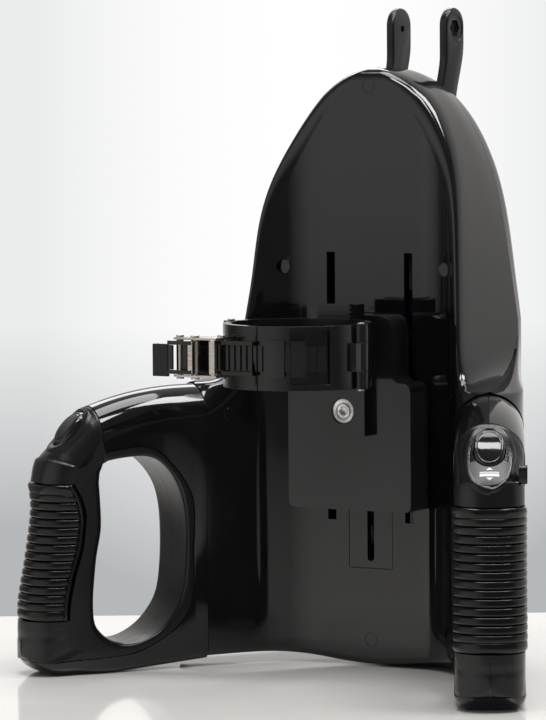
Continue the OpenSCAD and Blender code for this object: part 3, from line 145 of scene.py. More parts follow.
def shade(mesh, sharp):
    mesh.polygons.foreach_set("use_smooth", [True] * len(mesh.polygons))
    mesh.set_sharp_from_angle(angle=sharp)
    mesh.update()


def loose(name, points, faces):
    """A mesh object that is only used to cut or join, in the part's own axes (mm)."""
    mesh = mesh_from(name, points, faces)
    outward(mesh)
    return new_object(name, mesh)


def cut(piece, *tools):
    """Cuts closed tools out of a closed piece."""
    for tool in tools:
        step = piece.modifiers.new("cut", "BOOLEAN")
        step.operation = "DIFFERENCE"
        step.solver = "EXACT"
        step.object = tool
        settle(piece)
        bpy.data.objects.remove(tool)


def settle(piece):
    """Applies a piece's modifiers to its mesh."""
    bpy.context.view_layer.update()
    graph = bpy.context.evaluated_depsgraph_get()
    done = bpy.data.meshes.new_from_object(piece.evaluated_get(graph))
    piece.modifiers.clear()
    old = piece.data
    piece.data = done
    bpy.data.meshes.remove(old)


def soften(piece, width, angle=32, segments=2):
    """Rounds the sharp edges of a piece."""
    step = piece.modifiers.new("rounded_edges", "BEVEL")
    step.width = width * MM
    step.segments = segments
    step.limit_method = "ANGLE"
    step.angle_limit = math.radians(angle)
    step.harden_normals = True
    step.use_clamp_overlap = True


def prism(outline, low, high, axes=lambda p: p):
    """A straight prism over an outline, from one height to another, then set into place."""
    n = len(outline)
    points = [axes(np.array([p[0], p[1], h])) for h in (low, high) for p in outline]
    faces = [list(range(n)), list(range(2 * n - 1, n - 1, -1))]
    faces += [[i, (i + 1) % n, n + (i + 1) % n, n + i] for i in range(n)]
    return points, faces


def circle(r, n=48):
    return [(r * math.cos(2 * math.pi * i / n), r * math.sin(2 * math.pi * i / n)) for i in range(n)]


def signed_power(v, power):
    return math.copysign(abs(v) ** power, v)


def oval(length, width):
    """A full oval with its long side along Y."""
    return [(width / 2 * signed_power(c, 0.86), length / 2 * signed_power(s, 0.86)) for c, s in circle(1, 64)]


def stadium(length, width):
    """Two half circles joined by straight sides, its long side along Y."""
    r, reach, n = width / 2, (length - width) / 2, 24
    ends = [(r * math.cos(math.pi * i / n), reach + r * math.sin(math.pi * i / n)) for i in range(n + 1)]
    return ends + [(-x, -y) for x, y in ends]


def ring_faces(rings, per_ring, closed=False):
    """Faces between rings of points, and from the last ring to the first if closed."""
    faces = []
    for k in range(rings if closed else rings - 1):
        this, following = k * per_ring, (k + 1) % rings * per_ring
        for i in range(per_ring):
            j = (i + 1) % per_ring
            faces.append([this + i, this + j, following + j, following + i])
    return faces


def tube_faces(rings, per_ring):
    """Faces of a tube through rings of points, closed at both ends."""
    ends = [list(range(per_ring)), list(range(rings * per_ring - 1, (rings - 1) * per_ring - 1, -1))]
    return ends + ring_faces(rings, per_ring)


def sheet_faces(rows, cols, skip=None):
    faces = []
    for i in range(rows - 1):
        for j in range(cols - 1):
            if skip and skip(i, j):
                continue
            a = i * cols + j
            faces.append([a, a + 1, a + cols + 1, a + cols])
    return faces


# ---------------------------------------------------------------- covers
def arm_pt(s, n):
    return foot + s * arm_dir + n * arm_in


def trough(a):
    if a <= flat_half:
        return np.array([a, 0.0])
    if a <= curve_a:
        t = (a - flat_half) / trough_r
        return np.array([flat_half + trough_r * math.sin(t), -trough_r * (1 - math.cos(t))])
    return curve_end + (a - curve_a) * arm_dir


def trough_len(x):
    if x <= flat_half:
        return x
    if x <= curve_end[0]:
        return flat_half + trough_r * math.asin((x - flat_half) / trough_r)
    return curve_a + (x - curve_end[0]) / arm_dir[0]


def dome_w(z):
    share = clamp01((z - dome_start_z) / (dome_h - dome_start_z))
    power = dome_pow + dome_fuller * ease((share - fuller_from) / fuller_span)
    return dome_half_w * math.sqrt(max(0.0, 1 - share ** power))


def dome_z(share):
    return dome_start_z + (dome_h - dome_start_z) * (1 - share * share) ** (1 / dome_pow)


def flare(z):
    return 1 - (1 - clamp01((z - crest_z) / (flare_z - crest_z))) ** 3


def crest_n(z):
    low = crest_z - arm_half_t
    if z <= low:
        return arm_half_t
    if z >= crest_z:
        return 0.0
    return arm_half_t * math.sqrt(1 - ((z - low) / arm_half_t) ** 2)


def section_end(z, side):
    return mix(arm_pt(-seam_s, side * crest_n(z)), np.array([dome_w(max(z, flare_z - 1)), part_y]), flare(z))


def brow(z, w):
    """How far the front face stands out past the parting line on the upper dome."""
    return brow_w * ease((z - brow_z) / brow_rise) * min(1.0, w / brow_fade_w)


def rim_at(z):
    """Radius of the cover's front rim: it opens out towards the crown."""
    return rim_r + crown_rim * ease((z - crown_rim_z) / crown_rim_rise)


def bezier(a, b, c, u):
    return (1 - u) * (1 - u) * a + 2 * u * (1 - u) * b + u * u * c


flat_columns = [0, 4, 8.5, 13, panel_half_w, 22, slot_x - slot_w / 2, slot_x + slot_w / 2, flat_half]
curve_steps, rim_steps, side_steps = 20, 12, 8


def trace(points, along, place, steps, low, high, start=1):
    """Adds a stretch of a section: its points, and their places along the parting line."""
    for i in range(start, steps + 1):
        points.append(place(i / steps))
        along.append(mix(low, high, i / steps))


def front_half(z):
    """Half a section of the front cover, with each point's place along the parting line."""
    w = dome_w(max(z, flare_z))
    whole = trough_len(w + brow(z, w))
    start = mix(curve_a, max(whole - rim_at(z), 0.42 * whole), flare(z))
    corner = trough(mix(seam_a - 10, whole, flare(z)))
    end = section_end(z, 1)
    knee = corner + min(0.7, rim_at(z) / np.linalg.norm(end - corner)) * (end - corner)
    squeeze = min(1.0, start / (flat_half + 8))
    lengths = [x * squeeze for x in flat_columns]
    lengths += [mix(lengths[-1], start, i / curve_steps) for i in range(1, curve_steps + 1)]
    points, along = [], []
    for a in lengths:
        share = a / start
        points.append(trough(a))
        along.append((share / 0.38 if share < 0.38 else 1 + (share - 0.38) / 0.62 * 6) / 12)
    t = trough(start)
    trace(points, along, lambda u: bezier(t, corner, knee, u), rim_steps, 7 / 12, 11 / 12)
    trace(points, along, lambda u: mix(knee, end, u), side_steps, 11 / 12, 1)
    return points, along


def part_line(u):
    knee = np.array([curve_end[0] - 18, part_y])
    end = arm_pt(-seam_s, 0)
    l1, l2 = knee[0], float(np.linalg.norm(end - knee))
    d = u * (l1 + l2)
    return np.array([d, part_y]) if d <= l1 else mix(knee, end, (d - l1) / l2)


def arch(x):
    return arch_h * math.sin(math.pi * min(1.0, abs(x) / foot[0])) ** 2


def lift(p, z):
    fall = crown_fall * clamp01((p[1] - fall_y) / (body_depth - fall_y)) ** 2
    return [p[0], p[1], z + 1 + arch(p[0]) * clamp01(1 - z / 60)
            - fall * clamp01((z - flare_z) / (dome_h - flare_z))]


def set_back(p, z):
    q = clamp01((z - dome_h + crown_edge) / crown_edge)
    return np.array([p[0], p[1] + crown_edge * (1 - math.sqrt(1 - q * q)) * clamp01(1 - p[1] / part_y)])


def cover_heights():
    """Heights of a cover's rows: close together at the arms' crest and at the crown."""
    low = crest_z - arm_half_t
    rows = list(np.linspace(bottom_r, low, 22)) + [panel_z0, slot_z0]
    rows += [low + arm_half_t * math.sin(math.radians(a)) for a in np.linspace(5, 88, 14)]
    rows += [crest_z + (flare_z - crest_z) * (1 - (1 - t) ** (1 / 3)) for t in np.linspace(0, 0.985, 20)]
    rows += [panel_z1, slot_z1]
    flare_share = dome_w(flare_z) / dome_half_w
    rows += [dome_z(s) for s in np.linspace(flare_share, 0.02, 54)]
    rows = sorted(rows)
    keep = (panel_z0, panel_z1, slot_z0, slot_z1)
    kept = [rows[0]]
    for z in rows[1:]:
        if z in keep and z - kept[-1] < 1.0 and kept[-1] not in keep:
            kept[-1] = z
        elif z in keep or z > dome_h - 12 or (z - kept[-1] > 0.35 and not any(0 < k - z < 0.6 for k in keep)):
            kept.append(z)
    return kept


def cover_rows(half, top_edge):
    """Rows of a cover from the parting line below to the crown, right half only."""
    first, along = half(bottom_r)
    parts = [part_line(u) for u in along]
    rows = []
    rounding = [min(bottom_r, 0.5 * np.linalg.norm(q - l)) * unit(q - l) for l, q in zip(first, parts)]
    for depth in (1.0, 0.6, 0.3, 0.1):
        rows.append([lift(mix(l + d, q, depth), 0) for l, q, d in zip(first, parts, rounding)])
    for angle in (90, 72, 54, 36, 18):
        a = math.radians(angle)
        rows.append([lift(l + (1 - math.cos(a)) * d, bottom_r * (1 - math.sin(a)))
                     for l, d in zip(first, rounding)])
    heights = cover_heights()
    for z in heights:
        rows.append([lift(set_back(p, z) if top_edge else p, z) for p in half(z)[0]])
    return rows, [0.0] * 9 + heights


def cover(name, half, top_edge, holes=None, shift=0.0):
    """One cover as a sheet over its rows, both halves, thickened inwards to the wall."""
    rows, heights = cover_rows(half, top_edge)
    n = len(rows[0])
    full = [[[-p[0], p[1], p[2]] for p in r[:0:-1]] + r for r in rows]
    cols = 2 * n - 1
    skip = None
    if holes:
        def skip(i, j):
            x = abs(full[i][j][0] + full[i][j + 1][0]) / 2
            z = (heights[i] + heights[i + 1]) / 2
            return holes(x, z)
    faces = sheet_faces(len(full), cols, skip)
    last = (len(full) - 1) * cols
    faces += [[last + j, last + cols - 1 - j, last + cols - 2 - j, last + j + 1] for j in range(n - 1)
              if cols - 2 - j > j + 1]
    faces.append([last + n - 2, last + n, last + n - 1])
    mesh = mesh_from(name, np.array(full).reshape(-1, 3) + (0, shift, 0), faces)
    bm = bmesh.new()
    bm.from_mesh(mesh)
    bmesh.ops.remove_doubles(bm, verts=bm.verts, dist=1e-7)
    bmesh.ops.delete(bm, geom=[v for v in bm.verts if not v.link_faces], context="VERTS")
    bmesh.ops.recalc_face_normals(bm, faces=bm.faces)
    bm.faces.ensure_lookup_table()
    middle = sum((f.calc_center_median() for f in bm.faces), Vector()) / len(bm.faces)
    lean = sum((f.calc_center_median() - middle).dot(f.normal) * f.calc_area() for f in bm.faces)
    if lean < 0:
        bmesh.ops.reverse_faces(bm, faces=bm.faces)
    bm.to_mesh(mesh)
    bm.free()
    piece = new_object(name, mesh)
    thick = piece.modifiers.new("wall", "SOLIDIFY")
    thick.thickness = wall * MM
    thick.offset = -1
    thick.use_even_offset = False
    settle(piece)
    return piece


def rear_y(z):
    round_over = math.sqrt(max(0.02, 1 - clamp01((z - crown_z) / (dome_h + 1 - crown_z)) ** 4))
    return part_y + (body_depth - part_y) * round_over - 5 * clamp01((crest_z - z) / crest_z)


def rear_half(z):
    f, w = flare(z), dome_w(max(z, flare_z))
    o = arm_pt(-seam_s, -arm_half_t)
    low_corner = o - (rear_y(z) - o[1]) / -arm_dir[1] * arm_dir
    top = max(z, flare_z)
    dome_corner = np.array([dome_w(top) - side_draft * clamp01((dome_h - top) / (dome_h - flare_z)), rear_y(z)])
    c = mix(low_corner, dome_corner, f)
    p = section_end(z, -1)
    reach = mix(corner_r, min(corner_r, 0.6 * w), f)
    drop = mix(corner_r, min(corner_r, 0.75 * (rear_y(z) - part_y)), f)
    b = np.array([c[0] - reach, c[1]])
    k = c + drop * unit(mix(arm_dir, unit(p - c), f))
    m = mix(arm_pt(-seam_s - 34, -arm_half_t), mix(k, p, 0.4), f)
    q = mix(arm_pt(-seam_s - 10, -arm_half_t), mix(k, p, 0.7), f)
    points, along = [], []
    trace(points, along, lambda u: np.array([b[0] * u, b[1] + 3 * (1 - u * u) * clamp01(w / 60)]),
          12, 0, 3 / 11, 0)
    trace(points, along, lambda u: bezier(b, c, k, u), 14, 3 / 11, 7 / 11)
    trace(points, along, lambda u: mix(k, m, u), 4, 7 / 11, 8 / 11)
    trace(points, along, lambda u: bezier(m, q, p, u), 12, 8 / 11, 1)
    return points, along


def cylinder_y(r, x, y, z, length):
    return loose("cutter", *prism(circle(r), 0, length, lambda p: [x + p[0], y + p[2], z + p[1]]))


def wall_axes(side, z):
    """Places local points at a plug on the trough's straight wall: Z into the arm."""
    start = curve_end + wall_plug_s * arm_dir

    def axes(p):
        plan = start - p[2] * arm_in + p[0] * arm_dir
        return [side * plan[0], plan[1], z + p[1]]
    return axes


plug_xz = [(0, dome_h - 11), (0, 18), (62, 266), (-62, 266)]
wall_plug_s, wall_plug_z = 14.4, (101.6, 168)


def plug_y(x):
    return trough(trough_len(abs(x)))[1]


# ---------------------------------------------------------------- finishes
def group(name, inputs, outputs):
    tree = bpy.data.node_groups.new(name, "ShaderNodeTree")
    for label, kind, value in inputs:
        socket = tree.interface.new_socket(label, in_out="INPUT", socket_type="NodeSocket" + kind)
        socket.default_value = value
    for label, kind in outputs:
        tree.interface.new_socket(label, in_out="OUTPUT", socket_type="NodeSocket" + kind)
    return tree, tree.nodes.new("NodeGroupInput"), tree.nodes.new("NodeGroupOutput")


def node(tree, kind, inputs=(), **settings):
    """A shader node with its settings; each input is given a value or linked to a socket."""
    made = tree.nodes.new("ShaderNode" + kind)
    for name, value in settings.items():
        setattr(made, name, value)
    for key, value in dict(inputs).items():
        if isinstance(value, bpy.types.NodeSocket):
            tree.links.new(value, made.inputs[key])
        else:
            made.inputs[key].default_value = value
    return made


def link(tree, source, target):
    tree.links.new(source, target)


def math_node(tree, kind, *values):
    return node(tree, "Math", enumerate(values), operation=kind).outputs[0]


def spread(tree, value, from_low, from_high, to_low, to_high):
    """A value moved from one range to another, held at both ends."""
    return node(tree, "MapRange", enumerate((value, from_low, from_high, to_low, to_high))).outputs[0]


def place_noise(tree, coordinate, scale, detail=3.0, roughness=0.5, stretch=None):
    if stretch:
        coordinate = node(tree, "Mapping", {"Scale": stretch, "Vector": coordinate}).outputs[0]
    return node(tree, "TexNoise", {"Detail": detail, "Roughness": roughness, "Scale": scale,
                                   "Vector": coordinate}).outputs["Fac"]


def coordinate(tree):
    return tree.nodes.new("ShaderNodeTexCoord").outputs["Object"]


def make_grain_group():
    """Fine spark-eroded grain of moulded plastic: a height and a tint mask."""
    tree, given, out = group("moulded_grain",
                             [("Grain Scale", "Float", 1800.0), ("Patch Scale", "Float", 40.0)],
                             [("Height", "Float"), ("Mask", "Float")])
    place = coordinate(tree)
    fine = place_noise(tree, place, given.outputs["Grain Scale"], 2.0, 0.6)
    patch = place_noise(tree, place, given.outputs["Patch Scale"], 3.0)
    link(tree, fine, out.inputs["Height"])
    link(tree, spread(tree, patch, 0.3, 0.7, 0.0, 1.0), out.inputs["Mask"])
    return tree


def make_sheen_group():
    """Uneven gloss from handling: a roughness between two values, with a few fine specks."""
    tree, given, out = group("handled_gloss", [
        ("Low", "Float", 0.05), ("High", "Float", 0.15), ("Scale", "Float", 25.0), ("Specks", "Float", 0.1)],
        [("Roughness", "Float"), ("Mask", "Float")])
    place = coordinate(tree)
    smear = place_noise(tree, place, given.outputs["Scale"], 4.0, 0.55, (1.0, 1.0, 0.45))
    speck = place_noise(tree, place, 900.0, 1.0)
    mask = spread(tree, smear, 0.35, 0.7, 0.0, 1.0)
    dots = math_node(tree, "MULTIPLY", spread(tree, speck, 0.74, 0.78, 0.0, 1.0), given.outputs["Specks"])
    base = math_node(tree, "ADD", given.outputs["Low"], math_node(
        tree, "MULTIPLY", mask, math_node(tree, "SUBTRACT", given.outputs["High"], given.outputs["Low"])))
    link(tree, math_node(tree, "ADD", base, dots), out.inputs["Roughness"])
    link(tree, mask, out.inputs["Mask"])
    return tree


def make_wear_group():
    """Rubbed edges: a mask that is high on convex edges, broken up by noise."""
    tree, given, out = group("rubbed_edges", [("Amount", "Float", 0.5), ("Scale", "Float", 120.0)],
                             [("Mask", "Float")])
    pointy = tree.nodes.new("ShaderNodeNewGeometry").outputs["Pointiness"]
    edge = spread(tree, pointy, 0.52, 0.62, 0.0, 1.0)
    patches = place_noise(tree, coordinate(tree), given.outputs["Scale"], 5.0)
    broken = spread(tree, patches, 0.35, 0.65, 0.2, 1.0)
    link(tree, math_node(tree, "MULTIPLY", math_node(tree, "MULTIPLY", edge, broken), given.outputs["Amount"]),
         out.inputs["Mask"])
    return tree


def make_brushing_group():
    """Turned metal: fine rings round an axis along Y through Centre, or lines along X."""
    tree, given, out = group("metal_brushing", [
        ("Centre", "Vector", (0.0, 0.0, 0.0)), ("Rings", "Float", 1.0), ("Scale", "Float", 6000.0)],
        [("Height", "Float"), ("Mask", "Float")])
    away = node(tree, "VectorMath", {0: coordinate(tree), 1: given.outputs["Centre"]}, operation="SUBTRACT")
    flat = node(tree, "VectorMath", {0: away.outputs[0], 1: (1.0, 0.0, 1.0)}, operation="MULTIPLY")
    size = node(tree, "VectorMath", {0: flat.outputs[0]}, operation="LENGTH")
    rings = node(tree, "TexNoise", {"Detail": 2.0, "Scale": given.outputs["Scale"],
                                    "W": size.outputs["Value"]}, noise_dimensions="1D")
    lines = place_noise(tree, coordinate(tree), 500.0, 3.0, 0.5, (0.4, 6.0, 6.0))
    share = given.outputs["Rings"]
    both = math_node(tree, "ADD", math_node(tree, "MULTIPLY", rings.outputs[0], share),
                     math_node(tree, "MULTIPLY", lines, math_node(tree, "SUBTRACT", 1.0, share)))
    link(tree, both, out.inputs["Height"])
    # The tone mask is painted shade: it darkens the colour where the brushing relief is low.
    link(tree, spread(tree, both, 0.35, 0.65, 0.0, 1.0), out.inputs["Mask"])
    return tree


grain_group = make_grain_group()
sheen_group = make_sheen_group()
wear_group = make_wear_group()
brushing_group = make_brushing_group()


def place_group(tree, group_tree, **values):
    named = {label.replace("_", " ").title(): value for label, value in values.items()}
    return node(tree, "Group", named, node_tree=group_tree)


def blend(tree, mask, dark, light):
    """Mixes two colours by a mask."""
    return node(tree, "Mix", {"Factor": mask, "A": (*dark, 1), "B": (*light, 1)},
                data_type="RGBA").outputs["Result"]


def tint(tree, shader, mask, dark, light, gloss):
    """Colours a shader by a mask and gives it the roughness of a gloss group."""
    link(tree, blend(tree, mask, dark, light), shader.inputs["Base Color"])
    link(tree, gloss.outputs["Roughness"], shader.inputs["Roughness"])


def relief(tree, shader, height, depth, distance):
    bump = node(tree, "Bump", {"Strength": depth, "Distance": distance, "Height": height})
    link(tree, bump.outputs["Normal"], shader.inputs["Normal"])


def base_material(name, metallic=0.0, specular=0.5):
    material = bpy.data.materials.new(name)
    material.use_nodes = True
    tree = material.node_tree
    shader = tree.nodes["Principled BSDF"]
    shader.inputs["Metallic"].default_value = metallic
    shader.inputs["Specular IOR Level"].default_value = specular
    return material, tree, shader


def gloss_plastic(name, dark, light, low=0.05, high=0.11):
    """Polished black moulding with faint flow waves under its gloss."""
    material, tree, shader = base_material(name)
    gloss = place_group(tree, sheen_group, low=low, high=high, scale=22.0, specks=0.12)
    wear = place_group(tree, wear_group, amount=0.25, scale=160.0)
    mask = math_node(tree, "MAXIMUM", math_node(tree, "MULTIPLY", gloss.outputs["Mask"], 0.5),
                     wear.outputs["Mask"])
    tint(tree, shader, mask, dark, light, gloss)
    relief(tree, shader, place_noise(tree, coordinate(tree), 26.0, 1.0), 0.02, 0.002)
    return material


def grained_plastic(name, dark, light, low=0.34, high=0.46, grain=1500.0, depth=0.25, wear=0.5, specular=0.3):
    """Fine-grained matte moulding, a little polished where it is handled."""
    material, tree, shader = base_material(name, specular=specular)
    skin = place_group(tree, grain_group, grain_scale=grain, patch_scale=35.0)
    gloss = place_group(tree, sheen_group, low=low, high=high, scale=30.0, specks=0.05)
    worn = place_group(tree, wear_group, amount=wear, scale=140.0)
    mask = math_node(tree, "MAXIMUM", math_node(tree, "MULTIPLY", skin.outputs["Mask"], 0.4),
                     worn.outputs["Mask"])
    tint(tree, shader, mask, dark, light, gloss)
    relief(tree, shader, skin.outputs["Height"], depth, 0.0004)
    return material


def bare_metal(name, dark, light, low=0.18, high=0.32, rings=0.0, centre=(0.0, 0.0, 0.0), depth=0.15):
    """Metal with turned rings or drawn lines, with painted shade that makes it darker in its grooves."""
    material, tree, shader = base_material(name, metallic=1.0)
    brushed = place_group(tree, brushing_group, centre=centre, rings=rings, scale=5200.0)
    gloss = place_group(tree, sheen_group, low=low, high=high, scale=60.0, specks=0.05)
    tint(tree, shader, brushed.outputs["Mask"], dark, light, gloss)
    relief(tree, shader, brushed.outputs["Height"], depth, 0.0003)
    return material


screw_centre = (0.0, (panel_y - 35.0) * MM, screw_z * MM)
gloss_shell = gloss_plastic("gloss_shell", (0.0035, 0.0035, 0.004), (0.009, 0.009, 0.010))
gloss_insert = gloss_plastic("gloss_insert", (0.004, 0.004, 0.0045), (0.010, 0.010, 0.011), 0.07, 0.14)
gloss_carriage = gloss_plastic("gloss_carriage", (0.005, 0.005, 0.0055), (0.012, 0.012, 0.013), 0.09, 0.18)
gloss_ring = gloss_plastic("gloss_ring", (0.004, 0.004, 0.004), (0.011, 0.011, 0.011), 0.12, 0.24)
matte_part = grained_plastic("matte_part", (0.005, 0.005, 0.0053), (0.014, 0.014, 0.0145), 0.24, 0.36)
grip_rubber = grained_plastic("grip_rubber", (0.003, 0.003, 0.003), (0.008, 0.008, 0.008), 0.12, 0.2,
                              2200.0, 0.15, 0.3)
pad_rubber = grained_plastic("pad_rubber", (0.008, 0.008, 0.008), (0.018, 0.018, 0.017), 0.42, 0.6)
strap_plastic = gloss_plastic("strap_plastic", (0.006, 0.006, 0.006), (0.016, 0.016, 0.016), 0.14, 0.26)
satin_handle = grained_plastic("satin_handle", (0.0045, 0.0045, 0.0047), (0.011, 0.011, 0.0115), 0.2, 0.3,
                               specular=0.36)
fork_black = grained_plastic("fork_black", (0.005, 0.005, 0.0053), (0.014, 0.014, 0.0145), 0.2, 0.32)
gloss_rocker = gloss_plastic("gloss_rocker", (0.006, 0.006, 0.007), (0.013, 0.013, 0.014), 0.05, 0.1)
buckle_steel = bare_metal("buckle_steel", (0.40, 0.35, 0.32), (0.66, 0.61, 0.57), 0.2, 0.34)
screw_steel = bare_metal("screw_steel", (0.50, 0.50, 0.51), (0.80, 0.80, 0.81), 0.14, 0.24, 1.0,
                         screw_centre, 0.5)
pin_steel = bare_metal("pin_steel", (0.45, 0.43, 0.41), (0.72, 0.70, 0.68), 0.16, 0.28)
rod_steel = bare_metal("rod_steel", (0.50, 0.50, 0.51), (0.72, 0.72, 0.73), 0.1, 0.2)
plate_steel = bare_metal("plate_steel", (0.35, 0.35, 0.36), (0.55, 0.55, 0.56), 0.25, 0.4)
bronze = bare_metal("bronze", (0.38, 0.24, 0.10), (0.55, 0.36, 0.16), 0.25, 0.4)
motor_can = bare_metal("motor_can", (0.40, 0.40, 0.41), (0.60, 0.60, 0.62), 0.2, 0.35)
smoked_label = grained_plastic("smoked_label", (0.085, 0.085, 0.088), (0.12, 0.12, 0.122), 0.4, 0.5,
                               900.0, 0.05, 0.1, 0.25)
print_white = grained_plastic("print_white", (0.62, 0.62, 0.62), (0.72, 0.72, 0.72), 0.4, 0.5, 900.0, 0.1, 0.0)
belt_rubber = grained_plastic("belt_rubber", (0.012, 0.012, 0.012), (0.03, 0.03, 0.03), 0.5, 0.7)
board_green = grained_plastic("board_green", (0.01, 0.09, 0.04), (0.02, 0.13, 0.06), 0.25, 0.4)
cell_wrap = gloss_plastic("cell_wrap", (0.02, 0.06, 0.20), (0.03, 0.09, 0.27), 0.15, 0.25)

# ---------------------------------------------------------------- covers as pieces
def open_face(x, z):
    in_panel = x < panel_half_w and panel_z0 < z < panel_z1
    in_slot = abs(x - slot_x) < slot_w / 2 and slot_z0 < z < slot_z1
    return in_panel or in_slot


front = cover("front_cover_skin", front_half, True, open_face)
pockets = [cylinder_y(plug_r + 0.15, x, plug_y(x) - 3, z, plug_t + 3) for x, z in plug_xz]
pockets += [loose("cutter", *prism(circle(plug_r + 0.15), -1, plug_t, wall_axes(side, z)))
            for side in (1, -1) for z in wall_plug_z]
cut(front, *pockets)
soften(front, 0.3)
finish_piece(front, gloss_shell, "unit", "gloss_shell", ("front_cover",))

rear = cover("rear_cover_skin", rear_half, False, shift=seam_gap)
ear_cuts = []
for side in (-1, 1):
    x0 = side * (fork_gap + ear_t) / 2 - ear_t / 2 - part_gap
    x1 = x0 + ear_t + 2 * part_gap
    y0 = fork_y - ear_w / 2 - part_gap
    foot_y, back_y = y0 + fork_foot_w + 2 * part_gap, y0 + ear_w + 10
    foot_box = [(x0, y0), (x1, y0), (x1, foot_y), (x0, foot_y)]
    top_box = [(x0, y0), (x1, y0), (x1, back_y), (x0, back_y)]
    ear_cuts += [loose("cutter", *prism(foot_box, fork_base_z + 10, above_fork_z)),
                 loose("cutter", *prism(top_box, fork_base_top - part_gap, above_fork_z))]
ear_cuts.append(cylinder_y(socket_r + 0.2, 0, body_depth - 12, socket_z, 20))
cut(rear, *ear_cuts)
soften(rear, 0.3)
finish_piece(rear, gloss_shell, "unit", "gloss_shell", ("rear_cover",))


# ---------------------------------------------------------------- arms and handles
# Outlines in (s, z), point facing point: the opening for the hand and the frame's outer edge
hand_opening = [
    (-26.9, 135.6), (-26.6, 134.2), (-26.4, 133), (-26.2, 131.8), (-26, 130.2), (-25.7, 126.5), (-27, 98),
    (-23.5, 78), (-20.8, 52), (-21, 36.8), (-21.8, 33.2), (-23.4, 30), (-26, 27), (-34, 21.5), (-50, 19),
    (-66, 25), (-79, 38), (-86, 56), (-87.5, 96), (-82, 122), (-68, 139), (-52, 142.7),
    (-31, 140.6), (-27.8, 137.8)]
frame_edge = [
    (-25.2, 175.4), (-19, 171.2), (-3.7, 153.4), (8, 142), (11.6, 130), (12.5, 126.6), (14.5, 101),
    (18.5, 76), (23, 48), (23.4, 36.6), (23.6, 33), (23.6, 24), (22, 10.3), (-5, 9.8), (-46, 11.8),
    (-69.8, 20.8), (-84.7, 32.3), (-92.2, 48.2), (-92.7, 80), (-91.7, 115.8), (-69.8, 144.2),
    (-51, 149.7), (-29, 147.4), (-26.7, 156)]
grip_pairs, seam_pairs = (5, 9), (13, 23)  # stretches of points under the grip and along the seam
edge_round = [1, 1, 0.95, 1, 1, 1, 1, 1, 1, 1, 1, 1, 1, 0.1, 0, 0, 0, 0, 0, 0, 0, 0, 0, 0.1]
pad_edge = [(37, -1.6), (50, -2.4), (66, -6), (85, -12.6), (105, -15), (118, -11.3), (126, -6.2)]
face_a, face_b = np.array(frame_edge[1]), np.array(frame_edge[2])
face_mid = (face_a + face_b) / 2
face_tilt = math.atan2(face_b[0] - face_a[0], face_a[1] - face_b[1])


def finer(v):
    v = np.asarray(v, float)
    out = []
    for i in range(len(v)):
        p, a, b, q = v[i - 1], v[i], v[(i + 1) % len(v)], v[(i + 2) % len(v)]
        d = 2.2 * np.linalg.norm(b - a)
        even = np.linalg.norm(a - p) < d and np.linalg.norm(q - b) < d
        out += [a, (9 * (a + b) - p - q) / 16 if even else (a + b) / 2]
    return np.array(out)


def halfway(v):
    v = np.asarray(v, float)
    return np.ravel(np.column_stack([v, (v + np.roll(v, -1)) / 2]))


fine_opening = finer(finer(finer(hand_opening)))
fine_edge = finer(finer(finer(frame_edge)))
fine_round = halfway(halfway(halfway(edge_round)))
FINE = 8
# The heel of the post turns under with a quickly tightening edge
heel, half_step = 12 * FINE, FINE // 2
fine_round[heel - half_step:heel + half_step] = [0.95, 0.88, 0.8, 0.72, 0.6, 0.36, 0.2, 0.12]
fine_round[heel + half_step:heel + FINE] = 0.1
edge_table = [(fine_edge[i][1], fine_edge[i][0]) for i in range(3 * FINE, heel + 1)]


def pad_s(z):
    zs, ss = zip(*pad_edge)
    low = np.interp(z, zs, ss)
    soft = np.interp([z - 5, z - 2.5, z + 2.5, z + 5], zs, ss)
    return float((2 * low + sum(soft)) / 6) if zs[0] + 5 < z < zs[-1] - 5 else float(low)


def edge_s(z):
    return lookup(z, edge_table)


def grip_r(z):
    return min(post_round, edge_s(z) - rib_h - pad_s(z) - 5.5)


def arm_place(side, outer=1):
    """Places arm points: s along the arm, y across it, z up; outer -1 mirrors the halves."""
    def axes(p):
        plan = foot + p[0] * arm_dir - outer * p[1] * arm_in
        return [side * plan[0], plan[1], p[2]]
    return axes


def thumb_axes(place):
    """Places points of the slanted thumb face: X across the arm, Y up the slope, Z outwards."""
    c, s = math.cos(face_tilt), math.sin(face_tilt)

    def axes(p):
        x, y, z = p
        return place(np.array([face_mid[0] - y * s + z * c, x, face_mid[1] + y * c + z * s]))
    return axes


def toe_t(s):
    return arm_half_t * max(0.0, 1 - clamp01((s - 4) / 20) ** 2.3) ** 0.46


def arm_top(s):
    return crest_z - crest_drop * clamp01((s + seam_s) / 78) ** 2.3


def arm_low(s):
    if s < -34:
        return 5.2 * clamp01((-34 - s) / (seam_s - 34))
    return 0.0 if s < 2 else 12 * ((s - 2) / 20) ** 2.2


def arm_mesh():
    stations = list(np.linspace(-seam_s + seam_gap, -25.5, 36)) + list(np.linspace(-18, 4, 10))
    stations += [4 + 19.5 * math.sin(math.radians(a)) for a in np.linspace(6, 88, 16)]
    rings = []
    for s in stations:
        t, low = toe_t(s), arm_low(s)
        top = arm_top(s) if s < -20 else 60.0
        knee = min(bottom_r + 5 * clamp01((s + 25) / 20), 0.42 * t)
        ring = [(s, -seam_gap / 2, top)]
        ring += [(s, -t * math.cos(math.radians(a)), top - t * (1 - math.sin(math.radians(a))))
                 for a in np.linspace(82, 0, 18)]
        ring += [(s, -t + knee * (1 - math.cos(math.radians(a))), low + knee * (1 - math.sin(math.radians(a))))
                 for a in np.linspace(0, 90, 7)]
        ring.append((s, -seam_gap / 2, low))
        rings.append(ring)
    return [p for r in rings for p in r], tube_faces(len(rings), len(rings[0]))


